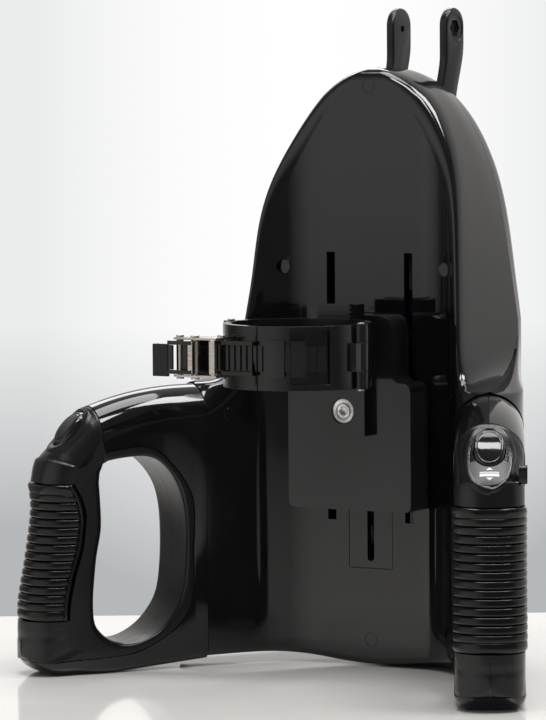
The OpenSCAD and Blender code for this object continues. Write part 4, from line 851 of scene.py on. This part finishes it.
def frame_cut():
    """The outline that the handle takes out of the arm, set off by the seam."""
    outline = [(-26.1, 210), (60, 210), (60, 10)]
    for i in range(FINE * seam_pairs[0] - 4, FINE * seam_pairs[1] + 2):
        d = fine_edge[(i + 1) % len(fine_edge)] - fine_edge[i - 1]
        outline.append(tuple(fine_edge[i] + 0.6 * seam_gap * unit(np.array([-d[1], d[0]]))))
    return outline


def heel_side(s):
    """Side of the post's heel, kept just inside the toe of the arm under it."""
    return min(0.35 - toe_t(s) * handle_half_t / arm_half_t, -2 * seam_gap)


def handle_mesh():
    t, drop = handle_half_t, grip_t + 0.8
    heel_s, heel_top_z, head_end = 4, 32, 3 * FINE
    quarter = np.linspace(0, math.pi / 2, 9)
    sections = []
    n = len(fine_opening)
    for i in range(n):
        a, b0 = fine_opening[i], fine_edge[i]
        d = unit(b0 - a)
        step = FINE * grip_pairs[0] <= i <= FINE * grip_pairs[1]
        b = b0 - (drop + rib_h) * d if step else b0
        w = float(np.linalg.norm(b - a))
        roundest = (0.6 if i < head_end else 0.45) * w
        ro = grip_r(b0[1]) - drop if step else max(0.8, min(fine_round[i] * post_round, roundest))
        ri = min(opening_round, 0.35 * w)
        share = (pad_s(a[1]) - a[0]) / (b[0] - a[0]) if step else 0.5
        e = a + clamp01(max(share, (ri + 0.5) / w)) * w * d
        low = t - drop if step else t
        section = [(a, -seam_gap / 2)]
        section += [(a + ri * (1 - math.cos(q)) * d, ri * (1 - math.sin(q)) - t) for q in quarter]
        section += [(e, -t), (e + 0.4 * d, -low)]
        section += [(b - ro * (1 - math.sin(q)) * d, ro * (1 - math.cos(q)) - low)
                    for q in np.linspace(0, math.pi / 2, 12)]
        section.append((b, -seam_gap / 2))
        sections.append([(p[0], max(y, heel_side(p[0])) if p[0] > heel_s and p[1] < heel_top_z else y, p[1])
                         for p, y in section])
    return [p for r in sections for p in r], ring_faces(n, len(sections[0]), True)


def rib(z):
    """Height share of the grip's ribs at a level, 0 in a groove."""
    first, last = grip_z0 + 6, grip_z1 - 6
    if not first < z < last:
        inwards = z - grip_z0 if z <= first else grip_z1 - z
        return 0.75 + 0.25 * math.sin(math.pi * clamp01(inwards / 6))
    phase = (z - first) / (last - first) * rib_count % 1.0
    return 0.75 + 0.25 * math.sin(math.pi * phase) if 0.16 < phase < 0.84 else (
        clamp01(min(phase, 1 - phase) / 0.16) ** 0.7 * (0.75 + 0.25 * math.sin(math.pi * 0.16)))


def grip_mesh():
    first, last = grip_z0 + 6, grip_z1 - 6
    levels = [grip_z0 + d for d in (0, 0.3, 0.8, 1.5, 3, 4.6, 5.6)]
    pitch = (last - first) / rib_count
    for i in range(rib_count):
        levels += [first + (i + share) * pitch
                   for share in (0, 0.04, 0.1, 0.17, 0.3, 0.5, 0.7, 0.83, 0.9, 0.96)]
    levels += [last, last + 0.4, last + 1.4, last + 3, last + 4.5, last + 5.3, last + 5.8, grip_z1]
    ti, to = handle_half_t - grip_t, handle_half_t
    rings = []
    for z in levels:
        rim = min(1.0, math.sqrt(clamp01(min(z - grip_z0, grip_z1 - z) / 1.6 + 0.04)))
        b = rib_h * rib(z) * rim
        border = rib_h * 0.72 * rim
        e, r = pad_s(z) + 2, grip_r(z)
        cx, cy = edge_s(z) - rib_h - r, r - to
        side = [(e, -to + 0.6), (e + 0.15, -to - 0.5 * border), (e + 0.7, -to - border),
                (e + 2.0, -to - border), (e + 2.6, -to - 0.75 * border), (e + 2.9, -to - 0.1 * rib_h),
                (e + 3.3, -to - min(b, 0.6 * rib_h)), (e + 4.0, -to - b)]
        side = [p for p in side if p[0] < cx - 0.2]
        arc = [(cx + (r + b) * math.sin(q), cy - (r + b) * math.cos(q))
               for q in np.linspace(0, math.pi / 2, 15)]
        inner = [(cx + (r - grip_t) * math.sin(q), cy - (r - grip_t) * math.cos(q))
                 for q in np.linspace(math.pi / 2, 0, 7)]
        while len(side) < 8:
            side.insert(-1, tuple(mix(np.array(side[-2]), np.array(side[-1]), 0.5)))
        half = side + arc
        back = inner + [(e, -ti)]
        ring = [(x, y, z) for x, y in half] + [(x, -y, z) for x, y in half[-2::-1]]
        ring += [(x, -y, z) for x, y in back[::-1]] + [(x, y, z) for x, y in back[1:]]
        rings.append(ring)
    return [p for r in rings for p in r], tube_faces(len(rings), len(rings[0]))


def placed(mesh, axes):
    points, faces = mesh
    return [axes(np.array(p, float)) for p in points], faces


arm_points = arm_mesh()
handle_points = handle_mesh()
grip_points = grip_mesh()
frame_outline = frame_cut()
handle_tree = BVHTree.FromPolygons(
    [tuple(p) for p in handle_points[0]],
    [[a, b, c] if first else [a, c, d] for a, b, c, d in handle_points[1] for first in (0, 1)])
near_places = [(0, 0), (2.4, 0), (-2.4, 0), (0, 2.4), (0, -2.4), (1.2, 1.2), (-1.2, -1.2), (1.2, -1.2),
               (-1.2, 1.2)]
off_seam, over_head = 0.4, 14.0


def thumb_skin(x, y, rise):
    """A point over the slanted head of the handle, raised square to its evened surface."""
    axes = thumb_axes(lambda p: np.array(p, float))
    ahead = Vector(axes((0, 0, -1)) - axes((0, 0, 0)))
    depths, normals = [], []
    for dx, dy in near_places:
        start = Vector(axes((-max(abs(x) + dx, off_seam), y + dy, over_head)))
        hit, normal, _, depth = handle_tree.ray_cast(start, ahead)
        if hit is None:
            continue
        depths.append(depth)
        normals.append(-normal if normal.dot(ahead) > 0 else normal)
    point = axes((-abs(x), y, over_head - float(np.mean(depths)))) + rise * unit(np.mean(normals, axis=0))
    across = math.copysign(1, x) * abs(point[1]) if abs(x) > off_seam else x
    return np.array([point[0], across, point[2]])


for side, side_name in SIDES:
    for outer, half_name in ((1, "front"), (-1, "rear")):
        place = arm_place(side, outer)
        arm = loose(f"{side_name}_arm_{half_name}_skin", *placed(arm_points, place))
        cut(arm, loose("cutter", *prism(frame_outline, -5, 35,
                                        lambda p: place(np.array([p[0], -p[2], p[1]])))))
        soften(arm, 0.3)
        finish_piece(arm, gloss_shell, "unit", "gloss_shell", (f"{side_name}_arm_{half_name}",))
        handle = loose(f"{side_name}_handle_{half_name}_skin", *placed(handle_points, place))
        middle = arm_place(side, 1)
        pocket = oval(rocker_l + 1.4, rocker_w + 1.2)
        cutters = [loose("cutter", *prism(pocket, -9, 11, thumb_axes(middle)))]
        if side > 0 and outer < 0:
            hole = prism(stadium(12.6, 7.6), handle_half_t - 6, handle_half_t + 4,
                         lambda p: middle(np.array([button_s + p[0], p[2], button_z + p[1]])))
            cutters.append(loose("cutter", *hole))
        cut(handle, *cutters)
        soften(handle, 0.35)
        finish_piece(handle, satin_handle, "unit", "matte_handle", (f"{side_name}_handle_{half_name}",))
    middle = arm_place(side, 1)
    new_piece(f"{side_name}_grip_sleeve", *placed(grip_points, middle), grip_rubber, "unit", "grip_rubber",
              (f"{side_name}_grip",), 60)


# ---------------------------------------------------------------- rockers, label and button
def rocker_mesh():
    """Oval rocker, arched along its length, with a ring line round its middle."""
    outline = oval(rocker_l, rocker_w)
    profile = [(0.0, 1.9), (0.15, 1.9), (0.3, 1.9), (0.45, 1.9), (0.6, 1.9), (0.7, 1.9), (0.74, 1.82),
               (0.76, 1.6), (0.78, 1.58), (0.8, 1.75), (0.83, 1.8), (0.87, 1.7), (0.91, 1.45), (0.95, 1.0),
               (0.98, 0.45), (1.0, -0.3), (1.0, -2.6)]
    arch_d = 105  # twice the radius of the arch along the rocker
    points = [(0, 0, profile[0][1])]
    for share, height in profile[1:]:
        points += [(share * x, share * y, height - (share * y) ** 2 / arch_d) for x, y in outline]
    n = len(outline)
    faces = [[0, 1 + i, 1 + (i + 1) % n] for i in range(n)]
    for k in range(len(profile) - 2):
        for i in range(n):
            a, b = 1 + k * n + i, 1 + k * n + (i + 1) % n
            faces.append([a, a + n, b + n, b])
    last = 1 + (len(profile) - 2) * n
    faces.append([last + i for i in range(n - 1, -1, -1)])
    return points, faces


for side, side_name in SIDES:
    new_piece(f"{side_name}_rocker_cap", *placed(rocker_mesh(), thumb_axes(arm_place(side))), gloss_rocker,
              f"{side_name}_rocker_body", "gloss_shell", (f"{side_name}_rocker",), 50)


def head_patch(name, half_w, low, high, rise, depth, finish, replaced=(), cols=21, rows=7):
    """A thin plate laid on the head of the right handle; low and high give its edges across it."""
    points, faces = [], []
    for level in (rise, rise - depth):
        for i in range(cols):
            x = mix(-half_w, half_w, i / (cols - 1))
            points += [thumb_skin(x, mix(low(x), high(x), k / (rows - 1)), level) for k in range(rows)]
    n = cols * rows
    for i in range(cols - 1):
        for k in range(rows - 1):
            a, b = i * rows + k, (i + 1) * rows + k
            faces += [[a, b, b + 1, a + 1], [n + a, n + a + 1, n + b + 1, n + b]]
        for k in (0, rows - 1):
            a, b = i * rows + k, (i + 1) * rows + k
            faces.append([a, n + a, n + b, b])
    for i in (0, cols - 1):
        for k in range(rows - 1):
            a = i * rows + k
            faces.append([a, a + 1, n + a + 1, n + a])
    place = arm_place(1)
    new_piece(name, [place(p) for p in points], faces, finish, "unit", "smoked_label", replaced, 45)


label_half_w, label_side_y, label_drop, label_gap = 12.55, -12.0, 17.8, 1.2


def label_top(x):
    """Upper edge of the label: it follows the rocker's pocket."""
    oval_w, oval_l = rocker_w / 2 + label_gap, rocker_l / 2 + label_gap
    return min(-10.6, -oval_l * math.sqrt(clamp01(1 - (x / oval_w) ** 2)))


def label_foot(x):
    return label_side_y - label_drop * clamp01(1 - (abs(x) / (label_half_w + 0.05)) ** 2.6) ** 0.55


def arrow_tip(x):
    return 2.1 * (1 - abs(x) / 2.21)


mark = {"rise": 0.42, "depth": 0.4, "finish": print_white}
head_patch("right_label", label_half_w, label_foot, label_top, 0.3, 0.9, smoked_label, ("label_plate",), 41, 9)
head_patch("label_arrow_up", 2.2, lambda x: -18.4, lambda x: -18.4 + arrow_tip(x), **mark)
head_patch("label_bar_thin", 6.0, lambda x: -20.6, lambda x: -19.9, **mark)
head_patch("label_bar_thick", 6.0, lambda x: -23.6, lambda x: -21.3, **mark)
head_patch("label_arrow_down", 2.2, lambda x: -24.6 - arrow_tip(x), lambda x: -24.6, **mark)


def lip_mesh(with_label):
    """Low rounded lip round the rocker, and round the label under it on the right."""
    top_y = 18.6
    foot_y, side_x = (-33.0, 14.8) if with_label else (-top_y, 13.6)
    n, half_w, high = 96, 3.7, 0.85
    mid_y, reach = (top_y + foot_y) / 2, (top_y - foot_y) / 2
    top_steps, under_steps = 13, 5
    path, widths = [], []
    for i in range(n):
        q = 2 * math.pi * i / n
        c, t = math.cos(q), math.sin(q)
        y = mid_y + reach * t
        taper = 1.0 - (0.10 * clamp01((y - 2) / 16) if with_label else 0.0)
        near_button = clamp01((-y - 3) / 8) if with_label and c > 0 else 0.0
        path.append((side_x * taper * (1 - 0.06 * near_button) * signed_power(c, 0.9), y))
        widths.append(half_w - 1.4 * near_button)
    points = []
    for i in range(n):
        a, b = np.array(path[i - 1]), np.array(path[(i + 1) % n])
        across = unit(np.array([b[1] - a[1], a[0] - b[0]]))
        for k in np.linspace(-1, 1, top_steps):
            x, y = np.array(path[i]) + widths[i] * k * across
            swell = high * (0.5 + 0.5 * math.cos(math.pi * k))
            points.append(thumb_skin(x, y, swell - 0.08 - 0.3 * abs(k) ** 8))
        for k in np.linspace(0.9, -0.9, under_steps):
            x, y = np.array(path[i]) + widths[i] * k * across
            points.append(thumb_skin(x, y, -0.45))
    return points, ring_faces(n, top_steps + under_steps, True)


for side, side_name in SIDES:
    new_piece(f"{side_name}_head_lip", *placed(lip_mesh(side > 0), arm_place(side)), satin_handle, "unit",
              "matte_handle", (), 60)


# ---------------------------------------------------------------- fork ears
fork_hole_z, bolt_r, seat_r, nut_half_w = 424.0, 2.25, 9.5, 5.5
front_bulge, back_waist = 7.0, 11.0


def ear_outline():
    """Outline of an ear in Y and Z: a round head on a stem that bends forward to its foot."""
    r = ear_w / 2
    head = [(fork_y + r * math.cos(a), fork_hole_z + 2 + r * math.sin(a))
            for a in np.linspace(0, math.pi, 25)]
    down = np.linspace(fork_hole_z - 1, fork_base_z, 26)
    front = [(fork_y - r - front_bulge * ease((406 - z) / 30), z) for z in down]
    back = [(fork_y + r - back_waist * ease((414 - z) / 44), z) for z in down]
    return head + front + back[::-1]


for side, side_name in SIDES:
    inner = side * fork_gap / 2
    ear = loose(f"{side_name}_fork_ear", *prism(ear_outline(), 0, ear_t,
                                                lambda p: [inner + side * p[2], p[0], p[1]]))
    soften(ear, 1.7, 40, 5)
    settle(ear)

    def ear_bore(r, low, high, n=48):
        return loose("cutter", *prism(circle(r, n), low, high, lambda p: [
            inner + side * p[2], fork_y + p[0], fork_hole_z + p[1]]))
    tools = [ear_bore(bolt_r, -5, 12)]
    if side > 0:
        tools += [ear_bore(seat_r, ear_t - 0.6, 12),
                  ear_bore(nut_half_w / math.cos(math.pi / 6), ear_t - 3, 12, 6)]
    cut(ear, *tools)
    soften(ear, 0.25, 40)
    finish_piece(ear, fork_black, "unit", "matte_part", ("fork",), 35)

bar_half_l, bar_front, bar_back = 26, fork_y - ear_w / 2, fork_y - ear_w / 2 + fork_foot_w
bar = loose("fork_base_bar", *prism([
    (-bar_half_l, bar_front), (bar_half_l, bar_front), (bar_half_l, bar_back), (-bar_half_l, bar_back)],
    fork_base_z, fork_base_z + 10))
soften(bar, 1.0, 40, 3)
finish_piece(bar, fork_black, "unit", "matte_part", (), 35)


# ---------------------------------------------------------------- carriage screw
def screw_mesh():
    """Dished washer and socket screw, turned about Y; the socket is six-sided."""
    rings = [(4.0, -13.0), (4.0, -32.0), (8.2, -32.1), (8.2, -33.7), (7.9, -34.0), (6.3, -33.9),
             (5.7, -33.6), (5.5, -32.2), (5.0, -32.2), (4.9, -33.5), (4.6, -33.9), (3.1, -33.95)]
    n, points = 60, []
    for r, y in rings:
        points += [(x, y, screw_z + z) for x, z in circle(r, n)]
    for r, y in ((2.65, -33.7), (2.65, -31.0)):
        for i in range(n):
            a = 2 * math.pi * i / n
            six = r / math.cos((a % (math.pi / 3)) - math.pi / 6)
            points.append((six * math.cos(a), y, screw_z + six * math.sin(a)))
    return points, tube_faces(len(rings) + 2, n)


new_piece("carriage_screw_washer", *screw_mesh(), screw_steel, "carriage", "screw_steel",
          ("carriage_screw",), 38)


# ---------------------------------------------------------------- buckle and its lever
strap_z, strap_half, jaw_wall = 213.75, 8.5, 2.5
guide_y, lever_x, lever_y = -138.0, 42.0, -146.0
lever_low, lever_high = 203.05, 224.45


def upright_box(x0, x1, y0, y1, z0, z1):
    return prism([(x0, y0), (x1, y0), (x1, y1), (x0, y1)], z0, z1)


def upright_pin(x, y, r, z0, z1, n):
    return prism([(x + p[0], y + p[1]) for p in circle(r, n)], z0, z1)


def joined(name, parts, finish, body, slot, replaced, width):
    """One piece of several closed shapes that don't touch, with its edges rounded."""
    points, faces = [], []
    for pts, fcs in parts:
        start = len(points)
        points += [list(p) for p in pts]
        faces += [[start + i for i in f] for f in fcs]
    piece = loose(name, points, faces)
    soften(piece, width, 40, 3)
    finish_piece(piece, finish, body, slot, replaced, 35)


yoke_t, buckle_x, buckle_y, pawl_x = 1.5, 29.0, guide_y + 3.2, 54.0
yoke_z = (strap_z - strap_half - jaw_wall - part_gap - yoke_t, strap_z + strap_half + jaw_wall + part_gap)
yoke_side = [(-buckle_x + 4, buckle_y + 3.5), (-buckle_x + 4, guide_y - 10), (-lever_x, guide_y - 12),
             (-pawl_x - 3.5, guide_y - 10), (-pawl_x - 3.5, guide_y - 3.5), (-lever_x, buckle_y + 3.5)]
pin_places = ((buckle_x, buckle_y, 1.6), (lever_x, lever_y, 1.6), (pawl_x, guide_y - 7.5, 1.3))
for yoke_name, low, stands_for in (("buckle_yoke", yoke_z[0], ("buckle_frame",)),
                                   ("buckle_yoke_top", yoke_z[1], ())):
    yoke = loose(yoke_name, *prism(yoke_side, low, low + yoke_t))
    cut(yoke, *[loose("cutter", *upright_pin(-x, y, hole, 190, 240, 32)) for x, y, hole in pin_places])
    soften(yoke, 0.35, 40, 3)
    finish_piece(yoke, buckle_steel, "buckle", "buckle_steel", stands_for, 35)
joined("buckle_back_plate", [
    upright_box(-lever_x - 9, -lever_x + 5.5, guide_y + 0.6, guide_y + 1.8,
                yoke_z[0] + yoke_t + 0.02, yoke_z[1] - 0.02),
], gloss_ring, "buckle", "buckle_steel", (), 0.25)
joined("guide_cross_bar", [
    upright_box(-buckle_x - 1.9, -buckle_x + 2.4, guide_y - 9.1, guide_y - 7.9,
                yoke_z[0] + yoke_t + 0.5, yoke_z[1] - 0.5),
], buckle_steel, "left_jaw_body", "buckle_steel", (), 0.3)

front_y = lever_y - 6.5
joined("lever_finger_plate", [
    upright_box(-lever_x - 29, -lever_x - 17, front_y, front_y + 2.5, strap_z - 12.5, strap_z + strap_half),
    upright_box(-lever_x - 29, -lever_x - 26.5, front_y + 2.6, front_y + 5.5,
                strap_z - 12.5, strap_z + strap_half),
], matte_part, "lever", "matte_part", ("buckle_lever",), 0.7)
joined("lever_rails", [
    upright_box(-lever_x - 17.5, -lever_x + 1, front_y + 0.1, front_y + 2.2, lever_low, lever_low + 2.6),
    upright_box(-lever_x - 17.5, -lever_x + 1, front_y + 0.1, front_y + 2.2, lever_high - 2.6, lever_high),
    upright_box(-lever_x - 17, -lever_x - 13.4, front_y + 0.2, front_y + 1.9,
                lever_low + 2.8, lever_high - 2.8),
], gloss_ring, "lever", "buckle_steel", (), 0.35)
joined("lever_cross_pin", [
    upright_pin(-lever_x - 8.2, front_y + 1.1, 1.0, lever_low + 1.2, lever_high - 1.2, 24),
], buckle_steel, "lever", "buckle_steel", (), 0.15)
joined("lever_barrel", [
    upright_pin(-lever_x, lever_y, 2.9, lever_low, lever_high, 40),
    upright_box(-lever_x - 2.0, -lever_x + 1.6, front_y + 0.4, lever_y - 2.4,
                lever_low + 0.2, lever_high - 0.2),
], buckle_steel, "lever", "buckle_steel", (), 0.3)

# ---------------------------------------------------------------- carried-over parts
def make_crisp_group():
    """Joins split points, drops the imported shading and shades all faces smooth."""
    tree = bpy.data.node_groups.new("joined_smooth", "GeometryNodeTree")
    for in_out in ("INPUT", "OUTPUT"):
        tree.interface.new_socket("Geometry", in_out=in_out, socket_type="NodeSocketGeometry")
    shape = tree.nodes.new("NodeGroupInput").outputs[0]
    for kind, key, value in (("RemoveAttribute", "Name", "custom_normal"),
                             ("RemoveAttribute", "Name", "sharp_edge"),
                             ("MergeByDistance", "Distance", 2e-6),
                             ("SetShadeSmooth", "Shade Smooth", True)):
        step = tree.nodes.new("GeometryNode" + kind)
        step.inputs[key].default_value = value
        link(tree, shape, step.inputs["Geometry"])
        shape = step.outputs[0]
    link(tree, shape, tree.nodes.new("NodeGroupOutput").inputs[0])
    return tree


crisp_group = make_crisp_group()


def dress(name, finish, edge):
    """Gives a part of the frame its finish, and rounds its edges."""
    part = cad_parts[name]
    part.data.materials.clear()
    part.data.materials.append(finish)
    join = part.modifiers.new("joined_smooth", "NODES")
    join.node_group = crisp_group
    flat = part.modifiers.new("flat_faces", "DECIMATE")
    flat.decimate_type = "DISSOLVE"
    flat.angle_limit = math.radians(0.6)
    soften(part, edge)


carried_over = [
    (gloss_insert, 0.2, "slot_panel screw_plugs"),
    (matte_part, 0.5, "carriage_base side_button charge_socket"),
    (gloss_carriage, 0.9, "carriage_cover"),
    (gloss_ring, 0.35, "ring_mount left_jaw right_jaw pawl"),
    (pad_rubber, 0.35, "ring_pads left_jaw_pad right_jaw_pad"),
    (strap_plastic, 0.3, "ladder_strap"),
    (pin_steel, 0.2, "buckle_pin lever_pin pawl_pin hinge_pins housing_screws carriage_screws idler_axle"),
    (rod_steel, 0.3, "guide_rods"),
    (plate_steel, 0.3, "chassis_plate rod_blocks slider_block belt_clamp drive_pulley idler_pulley"),
    (bronze, 0.2, "bushings"),
    (motor_can, 0.4, "motor"),
    (smoked_label, 0.15, "label_plate"),
    (belt_rubber, 0.2, "belt"),
    (board_green, 0.15, "circuit_board left_switch_board right_switch_board"),
    (cell_wrap, 0.5, "battery_pack"),
]
for finish, edge, nodes in carried_over:
    for name in nodes.split():
        dress(name, finish, edge)

# ---------------------------------------------------------------- floor, light and camera
camera_turn = 32.6  # degrees to the unit's right-hand side


def make_floor():
    mesh = bpy.data.meshes.new("table")
    a = math.radians(camera_turn)
    right, ahead = Vector((math.cos(a), math.sin(a), 0)), Vector((-math.sin(a), math.cos(a), 0))
    centre = Vector((-0.0614, 0.0117, 0))
    corners = [(-1.9, -1.6), (1.9, -1.6), (1.9, 0.275), (-1.9, 0.275)]
    top = [centre + x * right + y * ahead for x, y in corners]
    points = [p + Vector((0, 0, z)) for z in (0.0, -0.03) for p in top]
    faces = [[0, 1, 2, 3], [7, 6, 5, 4]] + [[i, i + 4, (i + 1) % 4 + 4, (i + 1) % 4] for i in range(4)]
    mesh.from_pydata([tuple(p) for p in points], [], faces)
    outward(mesh)
    table = new_object("table", mesh)
    edge = table.modifiers.new("rounded_edges", "BEVEL")
    edge.width, edge.segments = 0.004, 3
    material, tree, shader = base_material("table_top")
    gloss = place_group(tree, sheen_group, low=0.07, high=0.13, scale=6.0, specks=0.0)
    tint(tree, shader, gloss.outputs["Mask"], (0.66, 0.645, 0.62), (0.69, 0.675, 0.65), gloss)
    mesh.materials.append(material)


def area_lamp(name, place, aim, size, watts):
    lamp = bpy.data.lights.new(name, "AREA")
    lamp.shape = "RECTANGLE"
    lamp.size, lamp.size_y = size
    lamp.energy = watts
    holder = new_object(name, lamp)
    holder.location = place
    holder.rotation_euler = (Vector(aim) - Vector(place)).to_track_quat("-Z", "Y").to_euler()


def level_reach(tree, parts, x_share, y_share):
    """How far a direction points along the level line (x_share, y_share)."""
    return math_node(tree, "ADD", math_node(tree, "MULTIPLY", parts.outputs["X"], x_share),
                     math_node(tree, "MULTIPLY", parts.outputs["Y"], y_share))


def make_world():
    world = bpy.data.worlds.new("studio")
    bpy.context.scene.world = world
    world.use_nodes = True
    tree = world.node_tree
    tree.nodes.clear()
    paths = node(tree, "LightPath").outputs
    place = node(tree, "TexCoord").outputs["Generated"]
    parts = node(tree, "SeparateXYZ", {0: place})
    # Pale backdrop behind the unit, a pale wall to the left before it, a dim room elsewhere
    behind = spread(tree, parts.outputs["Y"], 0.1, 0.6, 0.0, 0.75)
    wall_left = spread(tree, level_reach(tree, parts, -0.47, -0.883), 0.55, 0.95, 0.0, 0.92)
    wall_left = math_node(tree, "MULTIPLY", wall_left,
                          spread(tree, parts.outputs["Z"], -0.095, -0.03, 0.42, 1.0))
    room = math_node(tree, "MAXIMUM", math_node(tree, "MAXIMUM", behind, wall_left), 0.13)
    # The backdrop seen straight on is painted with shade: darker towards the bottom and away from the middle.
    across = level_reach(tree, parts, 0.842, 0.539)
    off_centre = math_node(tree, "ABSOLUTE", math_node(tree, "SUBTRACT", across, 0.008))
    shade = math_node(tree, "MULTIPLY", math_node(tree, "POWER", off_centre, 2.0), 90.0)
    shade = math_node(tree, "MINIMUM", shade, 0.32)
    height = spread(tree, parts.outputs["Z"], -0.124, -0.058, 0.0, 1.0)
    tone = blend(tree, math_node(tree, "SUBTRACT", height, shade), (0.46, 0.48, 0.49), (1.0, 1.0, 1.0))
    backdrop = node(tree, "Background", {"Color": tone})
    mirror = node(tree, "Background", {"Color": (1.0, 0.975, 0.95, 1), "Strength": room})
    fill = node(tree, "Background", {"Color": (1, 1, 1, 1), "Strength": 0.4})
    mirrored = math_node(tree, "MAXIMUM", paths["Is Glossy Ray"], paths["Is Transmission Ray"])
    inner = node(tree, "MixShader", {0: mirrored, 1: fill.outputs[0], 2: mirror.outputs[0]})
    outer = node(tree, "MixShader", {0: paths["Is Camera Ray"], 1: inner.outputs[0], 2: backdrop.outputs[0]})
    node(tree, "OutputWorld", {"Surface": outer.outputs[0]})


def make_camera():
    turn_right, above, roll = math.radians(camera_turn), math.radians(3.8), math.radians(-0.4)
    target = Vector((-0.0614, 0.01167, 0.20414))
    back = Vector((math.sin(turn_right) * math.cos(above), -math.cos(turn_right) * math.cos(above),
                   math.sin(above)))
    lens = bpy.data.cameras.new("view_camera")
    lens.lens, lens.sensor_width = 225.0, 36.0
    lens.clip_start, lens.clip_end = 0.1, 50.0
    camera = new_object("view_camera", lens)
    camera.location = target + 3.0 * back
    camera.rotation_mode = "QUATERNION"
    level = (-back).to_track_quat("-Z", "Y")
    camera.rotation_quaternion = level @ Matrix.Rotation(roll, 3, "Z").to_quaternion()
    bpy.context.scene.camera = camera


make_floor()
make_world()
make_camera()
area_lamp("overhead_box", (-0.25, 0.15, 1.8), (0, 0, 0.1), (0.9, 0.9), 17)
area_lamp("rear_box", (0.64, 0.3, 1.72), (0.035, 0.04, 0.38), (0.5, 0.62), 16)
area_lamp("rear_left_box", (-0.95, 1.05, 1.2), (-0.1, 0, 0.2), (0.8, 0.5), 6)
area_lamp("front_strip", (0.25, -0.46, 1.72), (0.13, -0.1, 0.16), (1.0, 0.3), 15)
bpy.context.scene.view_settings.view_transform = "Standard"
